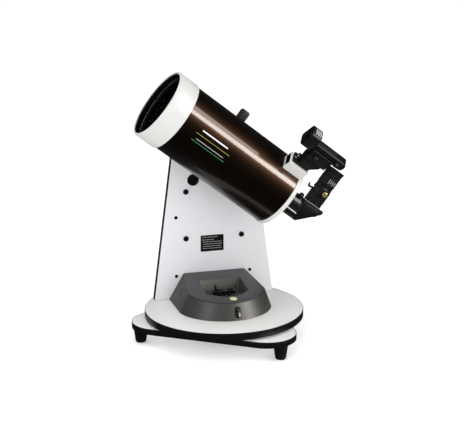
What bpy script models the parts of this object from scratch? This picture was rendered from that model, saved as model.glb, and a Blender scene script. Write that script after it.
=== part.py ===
"""Catadioptric telescope on a motorised tabletop alt-azimuth mount.

Metres, +Z up.  The azimuth axis is the world Z axis, and z = 0 is the underside of the pivot plate
under the base board.  The tube points up and towards -X, and the side panel stands at +Y.

Pieces of the tube are placed by their station, the distance back from the front rim along the
optical axis.  They hang on the empty "altitude_axis", whose local axes are X back along the tube,
Y along the altitude shaft and Z up out of the tube.
"""
import math

import bmesh
import bpy
from mathutils import Vector

# ---------------------------------------------------------------- clearances and print resolution
FIT = 0.0003                      # between pieces that are fastened or rest on each other
RUNNING = 0.0005                  # between pieces that turn or slide on each other
OVERCUT = 0.002                   # how far a cutter runs past the face that it opens
SHADE_ANGLE = math.radians(35)    # edges sharper than this stay crisp
ROUND = 40                        # sides of a large turned piece
SMALL_ROUND = 16                  # sides of a small turned piece
MIDDLE_ROUND = 28                 # sides of a piece between the two
BOARD_ROUND = 64                  # sides of the turntable
ARC_STEPS = 8                     # sides of one large rounded corner
SMALL_ARC_STEPS = 4               # and of a small one

# ---------------------------------------------------------------- base board, feet and pivot
PIVOT_PLATE_RADIUS = 0.045
PIVOT_PLATE_THICKNESS = 0.006
BASE_CORNER_DISTANCE = 0.1285     # from the azimuth axis to the centre of each rounded corner
BASE_CORNER_RADIUS = 0.0585
BASE_CORNER_ANGLE = math.radians(54.8)
BASE_BOARD_THICKNESS = 0.012
EDGE_BAND_THICKNESS = 0.001
FOOT_DISTANCE = 0.1695
FOOT_HEIGHT = 0.030
FOOT_TOP_RADIUS = 0.0145
FOOT_SOLE_RADIUS = 0.0105
FOOT_ROUNDING = 0.0015
STUD_RADIUS = 0.006
STUD_HEAD_RADIUS = 0.011
BEARING_RING_RADIUS = 0.115
BEARING_RING_WIDTH = 0.018
BEARING_GAP = 0.005               # from the base board to the turntable

# ---------------------------------------------------------------- turntable and drive housing
TURNTABLE_RADIUS = 0.160
TURNTABLE_THICKNESS = 0.015
HOUSING_WALL = 0.003
HOUSING_FOOT_HALF_WIDTH = 0.096   # at the panel
HOUSING_FOOT_RADIUS = 0.0974      # of the round front
HOUSING_FOOT_CENTRE = 0.0069
HOUSING_FOOT_START = math.radians(14)
HOUSING_TOP_HALF_WIDTH = 0.0645
HOUSING_TOP_RADIUS = 0.0837
HOUSING_TOP_CENTRE = 0.0071
HOUSING_TOP_START = math.radians(21)
HOUSING_BACK_HEIGHT = 0.054       # of the sloping top, at the panel
HOUSING_FRONT_HEIGHT = 0.0338     # of the sloping top, at its front edge
RECESS_HALF_WIDTH = 0.043
RECESS_BACK = 0.0345
RECESS_RADIUS = 0.054
RECESS_CENTRE = 0.0060
RECESS_FLOOR_HEIGHT = 0.022
RECESS_DRAFT = 0.26               # sideways growth of the recess for each unit of height
RECESS_RIM_HEIGHT = 0.043
CUT_HEADROOM = 0.020              # how far the recess cutter rises past the housing
CLUTCH_HUB_RADIUS = 0.0125
CLUTCH_HUB_HEIGHT = 0.005
CLUTCH_ARM_LENGTH = 0.046
CLUTCH_ARM_WIDTH = 0.014
CLUTCH_ARM_HEIGHT = 0.010
CLUTCH_FIN_LENGTH = 0.007
CLUTCH_FIN_HEIGHT = 0.011
CLUTCH_FIN_THICKNESS = 0.004
CLUTCH_ROUNDING = 0.004
SWITCH_WIDTH = 0.0085
SWITCH_LENGTH = 0.019
SWITCH_THICKNESS = 0.007
SWITCH_HOLE_DEPTH = 0.020
SWITCH_HEIGHT = 0.0150            # of its centre above the turntable
SWITCH_BEARING = math.radians(3.5)  # right of straight ahead, seen from the front
BATTERY_TRAY_SIZE = (0.024, 0.074, 0.025)
CONTROL_BOARD_SIZE = (0.024, 0.074, 0.0016)
TRAY_WALL = 0.0015
BOARD_STAND = 0.003               # width and height of the rails under the control board
CHIP_HEIGHT = 0.004
BAY_GAP = 0.010                   # from the azimuth wheel's teeth to the tray and the control board

# ---------------------------------------------------------------- worm drives
WHEEL_TOOTH_DEPTH = 0.0032
AZIMUTH_WHEEL_RADIUS = 0.0395
AZIMUTH_TEETH = 40
AZIMUTH_WHEEL_LIFT = 0.004        # above the turntable
ALTITUDE_WHEEL_RADIUS = 0.028
ALTITUDE_TEETH = 30
WHEEL_WIDTH = 0.008
WORM_RADIUS = 0.0065
WORM_SHAFT_RADIUS = 0.0028
WORM_THREADED = 0.022
WORM_THREADS = 5
WORM_SHAFT_REACH = 0.018          # of the plain shaft each side of the thread's middle
MOTOR_RADIUS = 0.012
MOTOR_LENGTH = 0.038
GEARBOX_LENGTH = 0.012
GEARBOX_SIZE = 0.024
GEARBOX_ROUNDING = 0.002

# ---------------------------------------------------------------- side panel
PANEL_FRONT = 0.0764              # its front face, behind the azimuth axis
PANEL_THICKNESS = 0.017
PANEL_FOOT_HALF_WIDTH = 0.126
PANEL_SLOPE = math.radians(7.73)
PANEL_HEIGHT = 0.345
PANEL_CORNER_RADIUS = 0.050
PANEL_BOLT_PLACES = ((-0.0579, 0.2245), (-0.0586, 0.1264), (0.0587, 0.1271))
PANEL_BOLT_HEAD_RADIUS = 0.0058
PANEL_BOLT_HEAD_THICKNESS = 0.0028
PANEL_BOLT_RADIUS = 0.003
PANEL_BOLT_COVER = 0.002          # of the panel left behind each bolt's end

# ---------------------------------------------------------------- altitude axis
ALTITUDE_DROP = 0.0245            # from the panel's top edge to the altitude axis
ALTITUDE_ANGLE = math.radians(38)
ALTITUDE_SHAFT_RADIUS = 0.008
ALTITUDE_FLANGE_RADIUS = 0.025
ALTITUDE_FLANGE_THICKNESS = 0.0066
BUSHING_WALL = 0.0037
COVER_TOP = 0.037                 # above the altitude axis
COVER_BOTTOM = 0.100              # below it
COVER_CORNER_RADIUS = 0.018
COVER_DEPTH = 0.032
COVER_WALL = 0.0025
COVER_ROOM = 0.0025               # round the worm drive, inside the cover
WHEEL_SETBACK = 0.0045            # from the panel's back to the worm wheel

# ---------------------------------------------------------------- saddle and dovetail bar
BAR_THICKNESS = 0.012
BAR_HALF_WIDTH = 0.022
BAR_SLANT = 0.0035                # how much narrower each side is at the tube
BAR_LENGTH = 0.200
SADDLE_HALF_LENGTH = 0.035
SADDLE_BACK_THICKNESS = 0.0101
SADDLE_LIP = 0.0105
SADDLE_GRIP = 0.0110              # depth of the lips over the bar
SADDLE_WALL = 0.007
JAW_HALF_LENGTH = 0.030
JAW_HEIGHT = 0.0105
JAW_ROOM = 0.005                  # from the jaw to the saddle's upper wall
SCREW_GAP = 0.002                 # from the jaw to the clamping screw when it is tight
KNOB_STATION_OFFSET = 0.008       # behind the altitude axis
KNOB_RISE = 0.0469                # of the knob's top above the saddle
KNOB_RADIUS = 0.0105
KNOB_LENGTH = 0.0215
KNOB_ROUNDING = 0.003
KNOB_STEM_RADIUS = 0.004

# ---------------------------------------------------------------- optical tube
TUBE_RADIUS = 0.070
TUBE_WALL = 0.0016
TUBE_END = 0.3110                 # station of the rear ring's back edge
ALTITUDE_STATION = 0.1713
RING_PROUD = 0.0025               # of both end rings over the tube
RING_CHAMFER = 0.0004
FRONT_RING_LENGTH = 0.044
FRONT_RING_OVERLAP = 0.011
FRONT_BORE_WALL = 0.0042
CORRECTOR_STATION = 0.0190        # of its front edge
CORRECTOR_EDGE_THICKNESS = 0.0107
CORRECTOR_LEDGE = 0.0023          # of the seat inside the front bore
CORRECTOR_CURVATURE = 0.205
DISH_STEPS = 3                    # rings of facets over each face of the lens
CORRECTOR_SHOULDER = 0.0035       # how far the seat reaches in under the glass
SEAT_THICKNESS = 0.003
RETAINER_THICKNESS = 0.005
BAFFLE_CUP_RADIUS = 0.019
BAFFLE_CUP_LENGTH = 0.017
BAFFLE_CUP_FLARE = 0.002
BAFFLE_CUP_WALL = 0.0015
REAR_RING_LENGTH = 0.0083
REAR_SOCKET_DEPTH = 0.004
REAR_DOME = 0.003
REAR_DOME_RADIUS = 0.060
VISUAL_BACK_WALL = 0.004325
VISUAL_BACK_NECK_WALL = 0.007725   # where it sits in the rear cell
VISUAL_BACK_LENGTH = 0.036
VISUAL_BACK_LEDGE = 0.0027         # of its flange past the rear cell's hole
VISUAL_BACK_FLANGE_THICKNESS = 0.0037
BARREL_RADIUS = 0.015875          # of a 31.75 mm eyepiece barrel
BARREL_CLEARANCE = 0.0004
BAFFLE_TUBE_RADIUS = 0.013
BAFFLE_TUBE_WALL = 0.001
BAFFLE_TUBE_LENGTH = 0.126
BAFFLE_FLANGE_RADIUS = 0.028
BAFFLE_FLANGE_THICKNESS = 0.0035
MIRROR_GAP = 0.0049               # from the mirror's edge to the tube
MIRROR_THICKNESS = 0.0155
MIRROR_SETBACK = 0.0305           # from the rear ring's back edge to the mirror's back
MIRROR_SAG = 0.004
SLEEVE_WALL = 0.003
CARRIAGE_THICKNESS = 0.006
CARRIAGE_INSET = 0.0055           # of the carriage's edge inside the mirror's
FOCUS_DISTANCE = 0.0400           # from the optical axis to the focus screw
FOCUS_BEARING = math.radians(116)  # from straight up, turned towards the front (-Y)
FOCUS_SCREW_RADIUS = 0.003
FOCUS_SCREW_REACH = 0.0152        # in front of the rear cell
FOCUS_NUT_RADIUS = 0.006
FOCUS_NUT_LENGTH = 0.013
FOCUS_KNOB_RADIUS = 0.0095
FOCUS_KNOB_LENGTH = 0.029
FOCUS_KNOB_STANDOFF = 0.004
THUMBSCREW_RADIUS = 0.0018
THUMBSCREW_HEAD_RADIUS = 0.0052
THUMBSCREW_HEAD_LENGTH = 0.0085
THUMBSCREW_NECK = 0.0025
VISUAL_BACK_SCREW_BEARING = math.radians(42)
SCREW_SETBACK = 0.0075            # of a thumbscrew from the rim of its tube

# ---------------------------------------------------------------- diagonal and eyepiece
NOSE_LENGTH = 0.028
NOSE_WALL = 0.0015
COLLAR_THICKNESS = 0.003
DIAGONAL_MARGIN = 0.0006          # of the housing past the eyepiece holder, at the sides and the top
DIAGONAL_DROP = 0.008             # how much further it reaches below the axis than above
DIAGONAL_WALL = 0.003
HOLDER_SETBACK = 0.0068           # from the collar's back to the eyepiece holder
MIRROR_PLATE_THICKNESS = 0.003
MIRROR_PLATE_SETBACK = 0.0060     # from the crossing of the two axes to the housing's slanted back
DIAGONAL_TAIL = 0.005             # of the housing behind the eyepiece holder
HOLDER_WALL = 0.002625
HOLDER_LENGTH = 0.036
BARREL_LENGTH = 0.028
EYEPIECE_SHOULDER = 0.002425      # of the eyepiece's body outside its barrel
EYEPIECE_BODY_LENGTH = 0.0355
EYEPIECE_WAIST = 0.0012
EYECUP_LENGTH = 0.0105
EYECUP_FLARE = 0.0014             # of its rim outside the eyepiece's body
EYE_LENS_RADIUS = 0.011
EYE_LENS_THICKNESS = 0.004
EYE_LENS_LEDGE = 0.002
FIELD_STEP = 0.004                # height of the cone where the barrel's bore narrows
EYECUP_WALL = 0.0022
EYECUP_LEDGE = 0.001

# ---------------------------------------------------------------- finder
FINDER_BEARING = math.radians(40)  # from straight up, turned towards the front (-Y)
BOSS_START = -0.0500              # stations of the shoe boss, from the rear ring's back edge
BOSS_END = -0.0050
BOSS_RISE = 0.0208                # above the tube
BOSS_ROOT = 0.006                 # how deep it starts inside the rear cell's ring
BOSS_HALF_WIDTH = 0.0158
BRACKET_HALF_WIDTH = 0.011
BRACKET_FOOT_HEIGHT = 0.0065
BRACKET_TOP = 0.0285              # above the boss
BRACKET_START = -0.0470
BRACKET_END = -0.0090
BRACKET_HEEL = 0.006              # chamfer at the back of its top
BRACKET_LIP = 0.005               # thickness of its top at the front
BRACKET_NOSE = 0.012              # length of the foot in front of the riser
CRADLE_START = -0.0380
CRADLE_END = 0.0090
CRADLE_THICKNESS = 0.006
CRADLE_CHEEK = 0.003
CRADLE_CHEEK_HEIGHT = 0.020
SIGHT_BODY_START = -0.0550
SIGHT_BODY_END = 0.0345
SIGHT_BODY_LIFT = 0.0125           # above the cradle's plate
SIGHT_BODY_HEIGHT = 0.019
SIGHT_BODY_HALF_WIDTH = 0.0095
SIGHT_FRAME_START = -0.0665
SIGHT_FRAME_DEPTH = 0.022
SIGHT_FRAME_HALF_WIDTH = 0.0155
SIGHT_FRAME_HEIGHT = 0.038
SIGHT_FRAME_WALL = 0.003
SIGHT_FRAME_DROP = 0.002          # of the window frame under the bar
SIGHT_FRAME_ROUNDING = 0.008
SIGHT_WINDOW_DIP = 0.004          # of the window under the bar's top
SIGHT_WINDOW_ROUNDING = 0.005
SIGHT_WINDOW_SETBACK = 0.003
SIGHT_WINDOW_THICKNESS = 0.0015
TILT_KNOB_RADIUS = 0.0060
TILT_KNOB_SETBACK = 0.014          # behind the cradle's front
TILT_KNOB_HEIGHT = 0.0075          # above the cradle's plate
SWIVEL_KNOB_RADIUS = 0.0045
SIGHT_KNOB_LENGTH = 0.0075
SIGHT_DIAL_RADIUS = 0.0062
SIGHT_DIAL_LENGTH = 0.0045
SIGHT_DIAL_SETBACK = 0.018        # in front of the bar's end

# ---------------------------------------------------------------- places worked out from the sizes
BOARD_BOTTOM = PIVOT_PLATE_THICKNESS + FIT
BOARD_TOP = BOARD_BOTTOM + BASE_BOARD_THICKNESS
TURNTABLE_BOTTOM = BOARD_TOP + BEARING_GAP
TURNTABLE_TOP = TURNTABLE_BOTTOM + TURNTABLE_THICKNESS
ALTITUDE_Z = TURNTABLE_TOP + PANEL_HEIGHT - ALTITUDE_DROP
AZIMUTH_WORM_Y = AZIMUTH_WHEEL_RADIUS + WORM_RADIUS + RUNNING
BAY_INNER_EDGE = AZIMUTH_WHEEL_RADIUS + BAY_GAP
BAY_BACK_EDGE = AZIMUTH_WORM_Y - 2 * WORM_SHAFT_RADIUS - RUNNING
ALTITUDE_WORM_X = -(ALTITUDE_WHEEL_RADIUS + WORM_RADIUS + RUNNING)
COVER_HALF_WIDTH = GEARBOX_SIZE / 2 + COVER_ROOM + COVER_WALL - ALTITUDE_WORM_X
PANEL_BACK = PANEL_FRONT + PANEL_THICKNESS
FLANGE_BACK = PANEL_FRONT - RUNNING
FLANGE_FRONT = FLANGE_BACK - ALTITUDE_FLANGE_THICKNESS
SADDLE_BACK = FLANGE_FRONT - FIT
SADDLE_FLOOR = SADDLE_BACK - SADDLE_BACK_THICKNESS
BAR_BACK = SADDLE_FLOOR - 2 * FIT
BAR_FRONT = BAR_BACK - BAR_THICKNESS
TUBE_Y = BAR_FRONT - FIT - TUBE_RADIUS
RING_RADIUS = TUBE_RADIUS + RING_PROUD
BOSS_TOP = TUBE_RADIUS + BOSS_RISE
CORRECTOR_RADIUS = RING_RADIUS - FRONT_BORE_WALL - CORRECTOR_LEDGE
MIRROR_RADIUS = TUBE_RADIUS - TUBE_WALL - MIRROR_GAP
MIRROR_BACK_STATION = TUBE_END - MIRROR_SETBACK
CARRIAGE_RADIUS = MIRROR_RADIUS - CARRIAGE_INSET
REAR_CELL_BACK = TUBE_END + REAR_DOME
BORE_RADIUS = BARREL_RADIUS + BARREL_CLEARANCE
REAR_HOLE_RADIUS = BORE_RADIUS + VISUAL_BACK_NECK_WALL + FIT
VISUAL_BACK_RADIUS = BORE_RADIUS + VISUAL_BACK_WALL
VISUAL_BACK_FLANGE_RADIUS = REAR_HOLE_RADIUS + VISUAL_BACK_LEDGE
HOLDER_RADIUS = BORE_RADIUS + HOLDER_WALL
EYEPIECE_BODY_RADIUS = BARREL_RADIUS + EYEPIECE_SHOULDER
EYECUP_RADIUS = EYEPIECE_BODY_RADIUS + EYECUP_FLARE
DIAGONAL_HALF_WIDTH = HOLDER_RADIUS + DIAGONAL_MARGIN
DIAGONAL_TOP = HOLDER_RADIUS + DIAGONAL_MARGIN
DIAGONAL_BOTTOM = DIAGONAL_TOP + DIAGONAL_DROP
VISUAL_BACK_END = REAR_CELL_BACK + FIT + VISUAL_BACK_LENGTH
COLLAR_BACK = VISUAL_BACK_END + FIT + COLLAR_THICKNESS
EYEPIECE_STATION = COLLAR_BACK + HOLDER_SETBACK + HOLDER_RADIUS
HOLDER_BOTTOM = DIAGONAL_TOP + FIT
HOLDER_TOP = HOLDER_BOTTOM + HOLDER_LENGTH


# ---------------------------------------------------------------- materials
def material(name, colour, roughness, metallic=0.0, transmission=0.0):
    found = bpy.data.materials.get(name)
    if found:
        return found
    made = bpy.data.materials.new(name)
    made.use_nodes = True
    shader = made.node_tree.nodes["Principled BSDF"]
    shader.inputs["Base Color"].default_value = (*colour, 1.0)
    shader.inputs["Roughness"].default_value = roughness
    shader.inputs["Metallic"].default_value = metallic
    shader.inputs["Transmission Weight"].default_value = transmission
    made.diffuse_color = (*colour, 1.0)
    return made


def board_white():
    return material("board_white", (0.83, 0.83, 0.82), 0.35)


def edge_black():
    return material("edge_black", (0.015, 0.015, 0.016), 0.45)


def rubber_black():
    return material("rubber_black", (0.02, 0.02, 0.02), 0.75)


def housing_grey():
    return material("housing_grey", (0.10, 0.098, 0.10), 0.42)


def plastic_black():
    return material("plastic_black", (0.018, 0.018, 0.02), 0.38)


def enamel_white():
    return material("enamel_white", (0.86, 0.855, 0.84), 0.30)


def tube_enamel():
    return material("tube_enamel", (0.045, 0.026, 0.018), 0.18, 0.6)


def anodised_black():
    return material("anodised_black", (0.02, 0.02, 0.024), 0.32, 0.7)


def steel():
    return material("steel", (0.62, 0.62, 0.63), 0.30, 1.0)


def brass():
    return material("brass", (0.72, 0.52, 0.24), 0.30, 1.0)


def aluminium():
    return material("aluminium", (0.70, 0.71, 0.72), 0.38, 1.0)


def glass():
    return material("coated_glass", (0.75, 0.85, 0.82), 0.02, 0.0, 1.0)


def mirror_coating():
    return material("mirror_coating", (0.92, 0.93, 0.94), 0.03, 1.0)


def circuit_green():
    return material("circuit_green", (0.03, 0.18, 0.07), 0.5)


# ---------------------------------------------------------------- outlines
def circle(radius, count=ROUND, centre=(0.0, 0.0), start=0.0):
    """Points of a circle, anticlockwise."""
    turn = 2 * math.pi / count
    return [
        (centre[0] + radius * math.cos(start + k * turn), centre[1] + radius * math.sin(start + k * turn))
        for k in range(count)
    ]


def arc(centre, radius, first, last, steps):
    """Points of an arc from one angle to another, both ends included."""
    return [
        (
            centre[0] + radius * math.cos(first + (last - first) * k / steps),
            centre[1] + radius * math.sin(first + (last - first) * k / steps),
        )
        for k in range(steps + 1)
    ]


def rounded(points, radius, steps=ARC_STEPS, skip=()):
    """A convex or concave outline with its corners rounded, apart from the corners in skip."""
    result = []
    for k, corner in enumerate(points):
        if k in skip:
            result.append(tuple(corner))
            continue
        here = Vector(corner)
        before = (Vector(points[k - 1]) - here).normalized()
        after = (Vector(points[(k + 1) % len(points)]) - here).normalized()
        half = before.angle(after) / 2
        reach = radius / math.tan(half)
        middle = here + (before + after).normalized() * (radius / math.sin(half))
        begin = here + before * reach - middle
        sweep = (here + after * reach - middle).angle_signed(begin)
        for j in range(steps + 1):
            turn = sweep * j / steps
            result.append(
                (
                    middle.x + begin.x * math.cos(turn) - begin.y * math.sin(turn),
                    middle.y + begin.x * math.sin(turn) + begin.y * math.cos(turn),
                )
            )
    return result


def rectangle(low_a, high_a, low_b, high_b):
    return [(low_a, low_b), (high_a, low_b), (high_a, high_b), (low_a, high_b)]


def stadium(length, width, steps=8):
    """A slot shape, long along its second coordinate."""
    radius = width / 2
    straight = length / 2 - radius
    far = arc((0, straight), radius, 0, math.pi, steps)
    return far + arc((0, -straight), radius, math.pi, 2 * math.pi, steps)


def gear(tip_radius, tooth_depth, teeth):
    """A spur outline with flat-topped teeth."""
    pitch = 2 * math.pi / teeth
    root = tip_radius - tooth_depth
    flanks = ((0.00, root), (0.22, root), (0.38, tip_radius), (0.62, tip_radius), (0.78, root))
    return [
        (radius * math.cos((k + share) * pitch), radius * math.sin((k + share) * pitch))
        for k in range(teeth)
        for share, radius in flanks[1:]
    ]


# ---------------------------------------------------------------- solids
def add_object(name, mesh, finish, parent=None, location=(0, 0, 0), rotation=(0, 0, 0)):
    made = bpy.data.objects.new(name, mesh)
    bpy.context.scene.collection.objects.link(made)
    if finish:
        mesh.materials.append(finish)
    made.parent = parent
    made.location = location
    made.rotation_euler = rotation
    return made


def solid(name, points, faces, finish, **place):
    """A closed solid from its points and faces, with its faces turned outwards."""
    mesh = bpy.data.meshes.new(name)
    mesh.from_pydata(points, [], faces)
    shape = bmesh.new()
    shape.from_mesh(mesh)
    bmesh.ops.recalc_face_normals(shape, faces=shape.faces)
    if shape.calc_volume(signed=True) < 0:
        bmesh.ops.reverse_faces(shape, faces=shape.faces)
    shape.to_mesh(mesh)
    shape.free()
    mesh.shade_smooth()
    mesh.set_sharp_from_angle(angle=SHADE_ANGLE)
    return add_object(name, mesh, finish, **place)


def loft(name, rings, finish, **place):
    """A solid through rings of 3-D points, closed by a flat face at each end."""
    count = len(rings[0])
    points = [point for ring in rings for point in ring]
    faces = [tuple(range(count)), tuple((len(rings) - 1) * count + k for k in reversed(range(count)))]
    for level in range(len(rings) - 1):
        low = level * count
        for k in range(count):
            after = (k + 1) % count
            faces.append((low + k, low + after, low + count + after, low + count + k))
    return solid(name, points, faces, finish, **place)


def spread(point, level, axis):
    """A point of a flat outline, placed at a level along the axis that it is extruded along."""
    first, second = point
    return {"X": (level, first, second), "Y": (first, level, second), "Z": (first, second, level)}[axis]


def prism(name, outline, low, high, finish, axis="Z", **place):
    rings = [[spread(point, level, axis) for point in outline] for level in (low, high)]
    return loft(name, rings, finish, **place)


def band(name, outer, inner, low, high, finish, axis="Z", **place):
    """A prism between two outlines with the same number of points."""
    count = len(outer)
    rims = ((outer, low), (outer, high), (inner, high), (inner, low))
    points = [spread(point, level, axis) for outline, level in rims for point in outline]
    faces = []
    for side in range(4):
        here, there = side * count, (side + 1) % 4 * count
        for k in range(count):
            after = (k + 1) % count
            faces.append((here + k, here + after, there + after, there + k))
    return solid(name, points, faces, finish, **place)


def turned(name, profile, finish, axis="Z", sides=ROUND, **place):
    """A turned solid.  The profile lists (place along the axis, radius); one that starts and ends at
    radius 0 is solid, and any other is closed into a ring."""
    rings = []
    points = []
    for along, radius in profile:
        if radius == 0:
            rings.append([len(points)])
            points.append(spread((0.0, 0.0), along, axis))
        else:
            rings.append(range(len(points), len(points) + sides))
            points.extend(spread(point, along, axis) for point in circle(radius, sides))
    faces = []
    closed = len(rings[0]) > 1
    for k in range(len(rings) if closed else len(rings) - 1):
        here, there = rings[k], rings[(k + 1) % len(rings)]
        for j in range(sides):
            after = (j + 1) % sides
            if len(here) == 1:
                faces.append((here[0], there[after], there[j]))
            elif len(there) == 1:
                faces.append((here[j], here[after], there[0]))
            else:
                faces.append((here[j], here[after], there[after], there[j]))
    return solid(name, points, faces, finish, **place)


def combine(target, other, operation):
    """Cut the other solid out of the target, or join it on, and leave the other out of the model."""
    other.hide_render = True
    other.display_type = "WIRE"
    step = target.modifiers.new(other.name, "BOOLEAN")
    step.operation = operation
    step.solver = "EXACT"
    step.object = other
    return target


def cut(target, other):
    return combine(target, other, "DIFFERENCE")


def join(target, other):
    return combine(target, other, "UNION")


def empty(name, location, rotation=(0, 0, 0), parent=None):
    made = bpy.data.objects.new(name, None)
    bpy.context.scene.collection.objects.link(made)
    made.parent = parent
    made.location = location
    made.rotation_euler = rotation
    return made


def rod(low, high, radius):
    """The profile of a plain solid cylinder."""
    return [(low, 0), (low, radius), (high, radius), (high, 0)]


def tube(low, high, inner, outer):
    """The profile of a plain tube."""
    return [(low, inner), (low, outer), (high, outer), (high, inner)]


# ---------------------------------------------------------------- base
def base_outline(inset):
    points = []
    for corner in range(3):
        angle = BASE_CORNER_ANGLE + corner * 2 * math.pi / 3
        centre = (BASE_CORNER_DISTANCE * math.cos(angle), BASE_CORNER_DISTANCE * math.sin(angle))
        points += arc(centre, BASE_CORNER_RADIUS - inset, angle - math.pi / 3, angle + math.pi / 3, ARC_STEPS)
    return points


def build_base(root):
    finish = board_white()
    board = prism("base_board", base_outline(EDGE_BAND_THICKNESS + FIT), BOARD_BOTTOM, BOARD_TOP, finish,
                  parent=root)
    passage = rod(BOARD_BOTTOM - OVERCUT, BOARD_TOP + OVERCUT, STUD_RADIUS + FIT)
    cut(board, turned("base_board_hole", passage, None, sides=SMALL_ROUND, parent=root))
    band("base_edge_band", base_outline(0), base_outline(EDGE_BAND_THICKNESS), BOARD_BOTTOM, BOARD_TOP,
         edge_black(), parent=root)

    foot_top = BOARD_BOTTOM - FIT
    sole = foot_top - FOOT_HEIGHT
    profile = [
        (foot_top, 0),
        (foot_top, FOOT_TOP_RADIUS),
        (sole + FOOT_ROUNDING, FOOT_SOLE_RADIUS + FOOT_ROUNDING / 2),
        (sole, FOOT_SOLE_RADIUS - FOOT_ROUNDING / 2),
        (sole, 0),
    ]
    for corner in range(3):
        angle = BASE_CORNER_ANGLE + corner * 2 * math.pi / 3
        place = (FOOT_DISTANCE * math.cos(angle), FOOT_DISTANCE * math.sin(angle), 0)
        turned(f"foot_{corner + 1}", profile, rubber_black(), sides=24, parent=root, location=place)

    turned("pivot_plate", rod(0, PIVOT_PLATE_THICKNESS, PIVOT_PLATE_RADIUS), steel(), parent=root)
    ring_low = BOARD_TOP + FIT
    ring_high = TURNTABLE_BOTTOM - FIT
    turned("bearing_ring", tube(ring_low, ring_high, BEARING_RING_RADIUS - BEARING_RING_WIDTH,
                                BEARING_RING_RADIUS), aluminium(), parent=root)


# ---------------------------------------------------------------- azimuth pivot and drive
def worm_profile(half_length):
    """A worm drawn as a row of thread crests on a plain shaft."""
    step = WORM_THREADED / WORM_THREADS
    root = WORM_RADIUS - WHEEL_TOOTH_DEPTH
    profile = [(-half_length, 0), (-half_length, WORM_SHAFT_RADIUS), (-WORM_THREADED / 2, WORM_SHAFT_RADIUS)]
    for k in range(WORM_THREADS):
        start = -WORM_THREADED / 2 + k * step
        profile += [(start, root), (start + 0.3 * step, WORM_RADIUS), (start + 0.7 * step, WORM_RADIUS)]
    profile += [(WORM_THREADED / 2, root), (WORM_THREADED / 2 + FIT, WORM_SHAFT_RADIUS)]
    profile += [(half_length, WORM_SHAFT_RADIUS), (half_length, 0)]
    return profile


def build_azimuth_pivot(root):
    wheel_low = TURNTABLE_TOP + AZIMUTH_WHEEL_LIFT
    lever_low = TURNTABLE_TOP + RECESS_FLOOR_HEIGHT + RUNNING
    lever_high = lever_low + CLUTCH_HUB_HEIGHT + CLUTCH_ARM_HEIGHT
    stud_low = PIVOT_PLATE_THICKNESS + FIT
    stud = turned("pivot_stud", rod(stud_low, lever_high - CLUTCH_ARM_HEIGHT / 2, STUD_RADIUS), steel(),
                  sides=SMALL_ROUND, parent=root)
    shoulder = rod(TURNTABLE_TOP + FIT, wheel_low - FIT, STUD_HEAD_RADIUS)
    join(stud, turned("pivot_stud_shoulder", shoulder, steel(), sides=SMALL_ROUND, parent=root))

    wheel = prism("azimuth_wheel", gear(AZIMUTH_WHEEL_RADIUS, WHEEL_TOOTH_DEPTH, AZIMUTH_TEETH),
                  wheel_low, wheel_low + WHEEL_WIDTH, brass(), parent=root)
    bore = rod(wheel_low - OVERCUT, wheel_low + WHEEL_WIDTH + OVERCUT, STUD_RADIUS + FIT)
    cut(wheel, turned("azimuth_wheel_bore", bore, None, sides=SMALL_ROUND, parent=root))

    lever = turned("clutch_lever", rod(lever_low, lever_low + CLUTCH_HUB_HEIGHT + OVERCUT, CLUTCH_HUB_RADIUS),
                   plastic_black(), sides=24, parent=root)
    half_arm, half_width = CLUTCH_ARM_LENGTH / 2, CLUTCH_ARM_WIDTH / 2
    arm = rounded(rectangle(-half_arm, half_arm, -half_width, half_width), CLUTCH_ROUNDING, SMALL_ARC_STEPS)
    join(lever, prism("clutch_lever_arm", arm, lever_low + CLUTCH_HUB_HEIGHT, lever_high, plastic_black(),
                      parent=root))
    fin_left = -half_arm + CLUTCH_FIN_LENGTH / 2
    fin = [
        (fin_left, lever_high - OVERCUT),
        (fin_left + CLUTCH_FIN_LENGTH, lever_high - OVERCUT),
        (fin_left + 0.4 * CLUTCH_FIN_LENGTH, lever_high + CLUTCH_FIN_HEIGHT),
        (fin_left, lever_high + CLUTCH_FIN_HEIGHT),
    ]
    half_fin = CLUTCH_FIN_THICKNESS / 2
    join(lever, prism("clutch_lever_fin", fin, -half_fin, half_fin, plastic_black(), axis="Y", parent=root))
    bore = rod(lever_low - OVERCUT, lever_high - CLUTCH_ARM_HEIGHT / 2 + FIT, STUD_RADIUS + FIT)
    cut(lever, turned("clutch_lever_bore", bore, None, sides=SMALL_ROUND, parent=root))


def gear_motor(name, axis, parent, location):
    """A small gearbox with its motor behind it; the output face is at 0 on the axis, facing -axis."""
    half = GEARBOX_SIZE / 2
    box = rounded(rectangle(-half, half, -half, half), GEARBOX_ROUNDING, 2)
    gearbox = prism(name, box, 0, GEARBOX_LENGTH, aluminium(), axis=axis, parent=parent, location=location)
    can = rod(GEARBOX_LENGTH - OVERCUT, GEARBOX_LENGTH + MOTOR_LENGTH, MOTOR_RADIUS - FIT)
    join(gearbox, turned(name + "_can", can, steel(), axis=axis, sides=24, parent=parent, location=location))


def build_azimuth_drive(turntable):
    wheel_middle = TURNTABLE_TOP + AZIMUTH_WHEEL_LIFT + WHEEL_WIDTH / 2
    worm_place = (0, AZIMUTH_WORM_Y, wheel_middle)
    turned("azimuth_worm", worm_profile(WORM_SHAFT_REACH), steel(), axis="X", sides=12, parent=turntable,
           location=worm_place)
    motor_z = TURNTABLE_TOP + FIT + GEARBOX_SIZE / 2
    motor_y = AZIMUTH_WORM_Y + GEARBOX_SIZE / 2 - 2 * WORM_SHAFT_RADIUS
    gear_motor("azimuth_motor", "X", turntable, (WORM_SHAFT_REACH + FIT, motor_y, motor_z))


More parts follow.
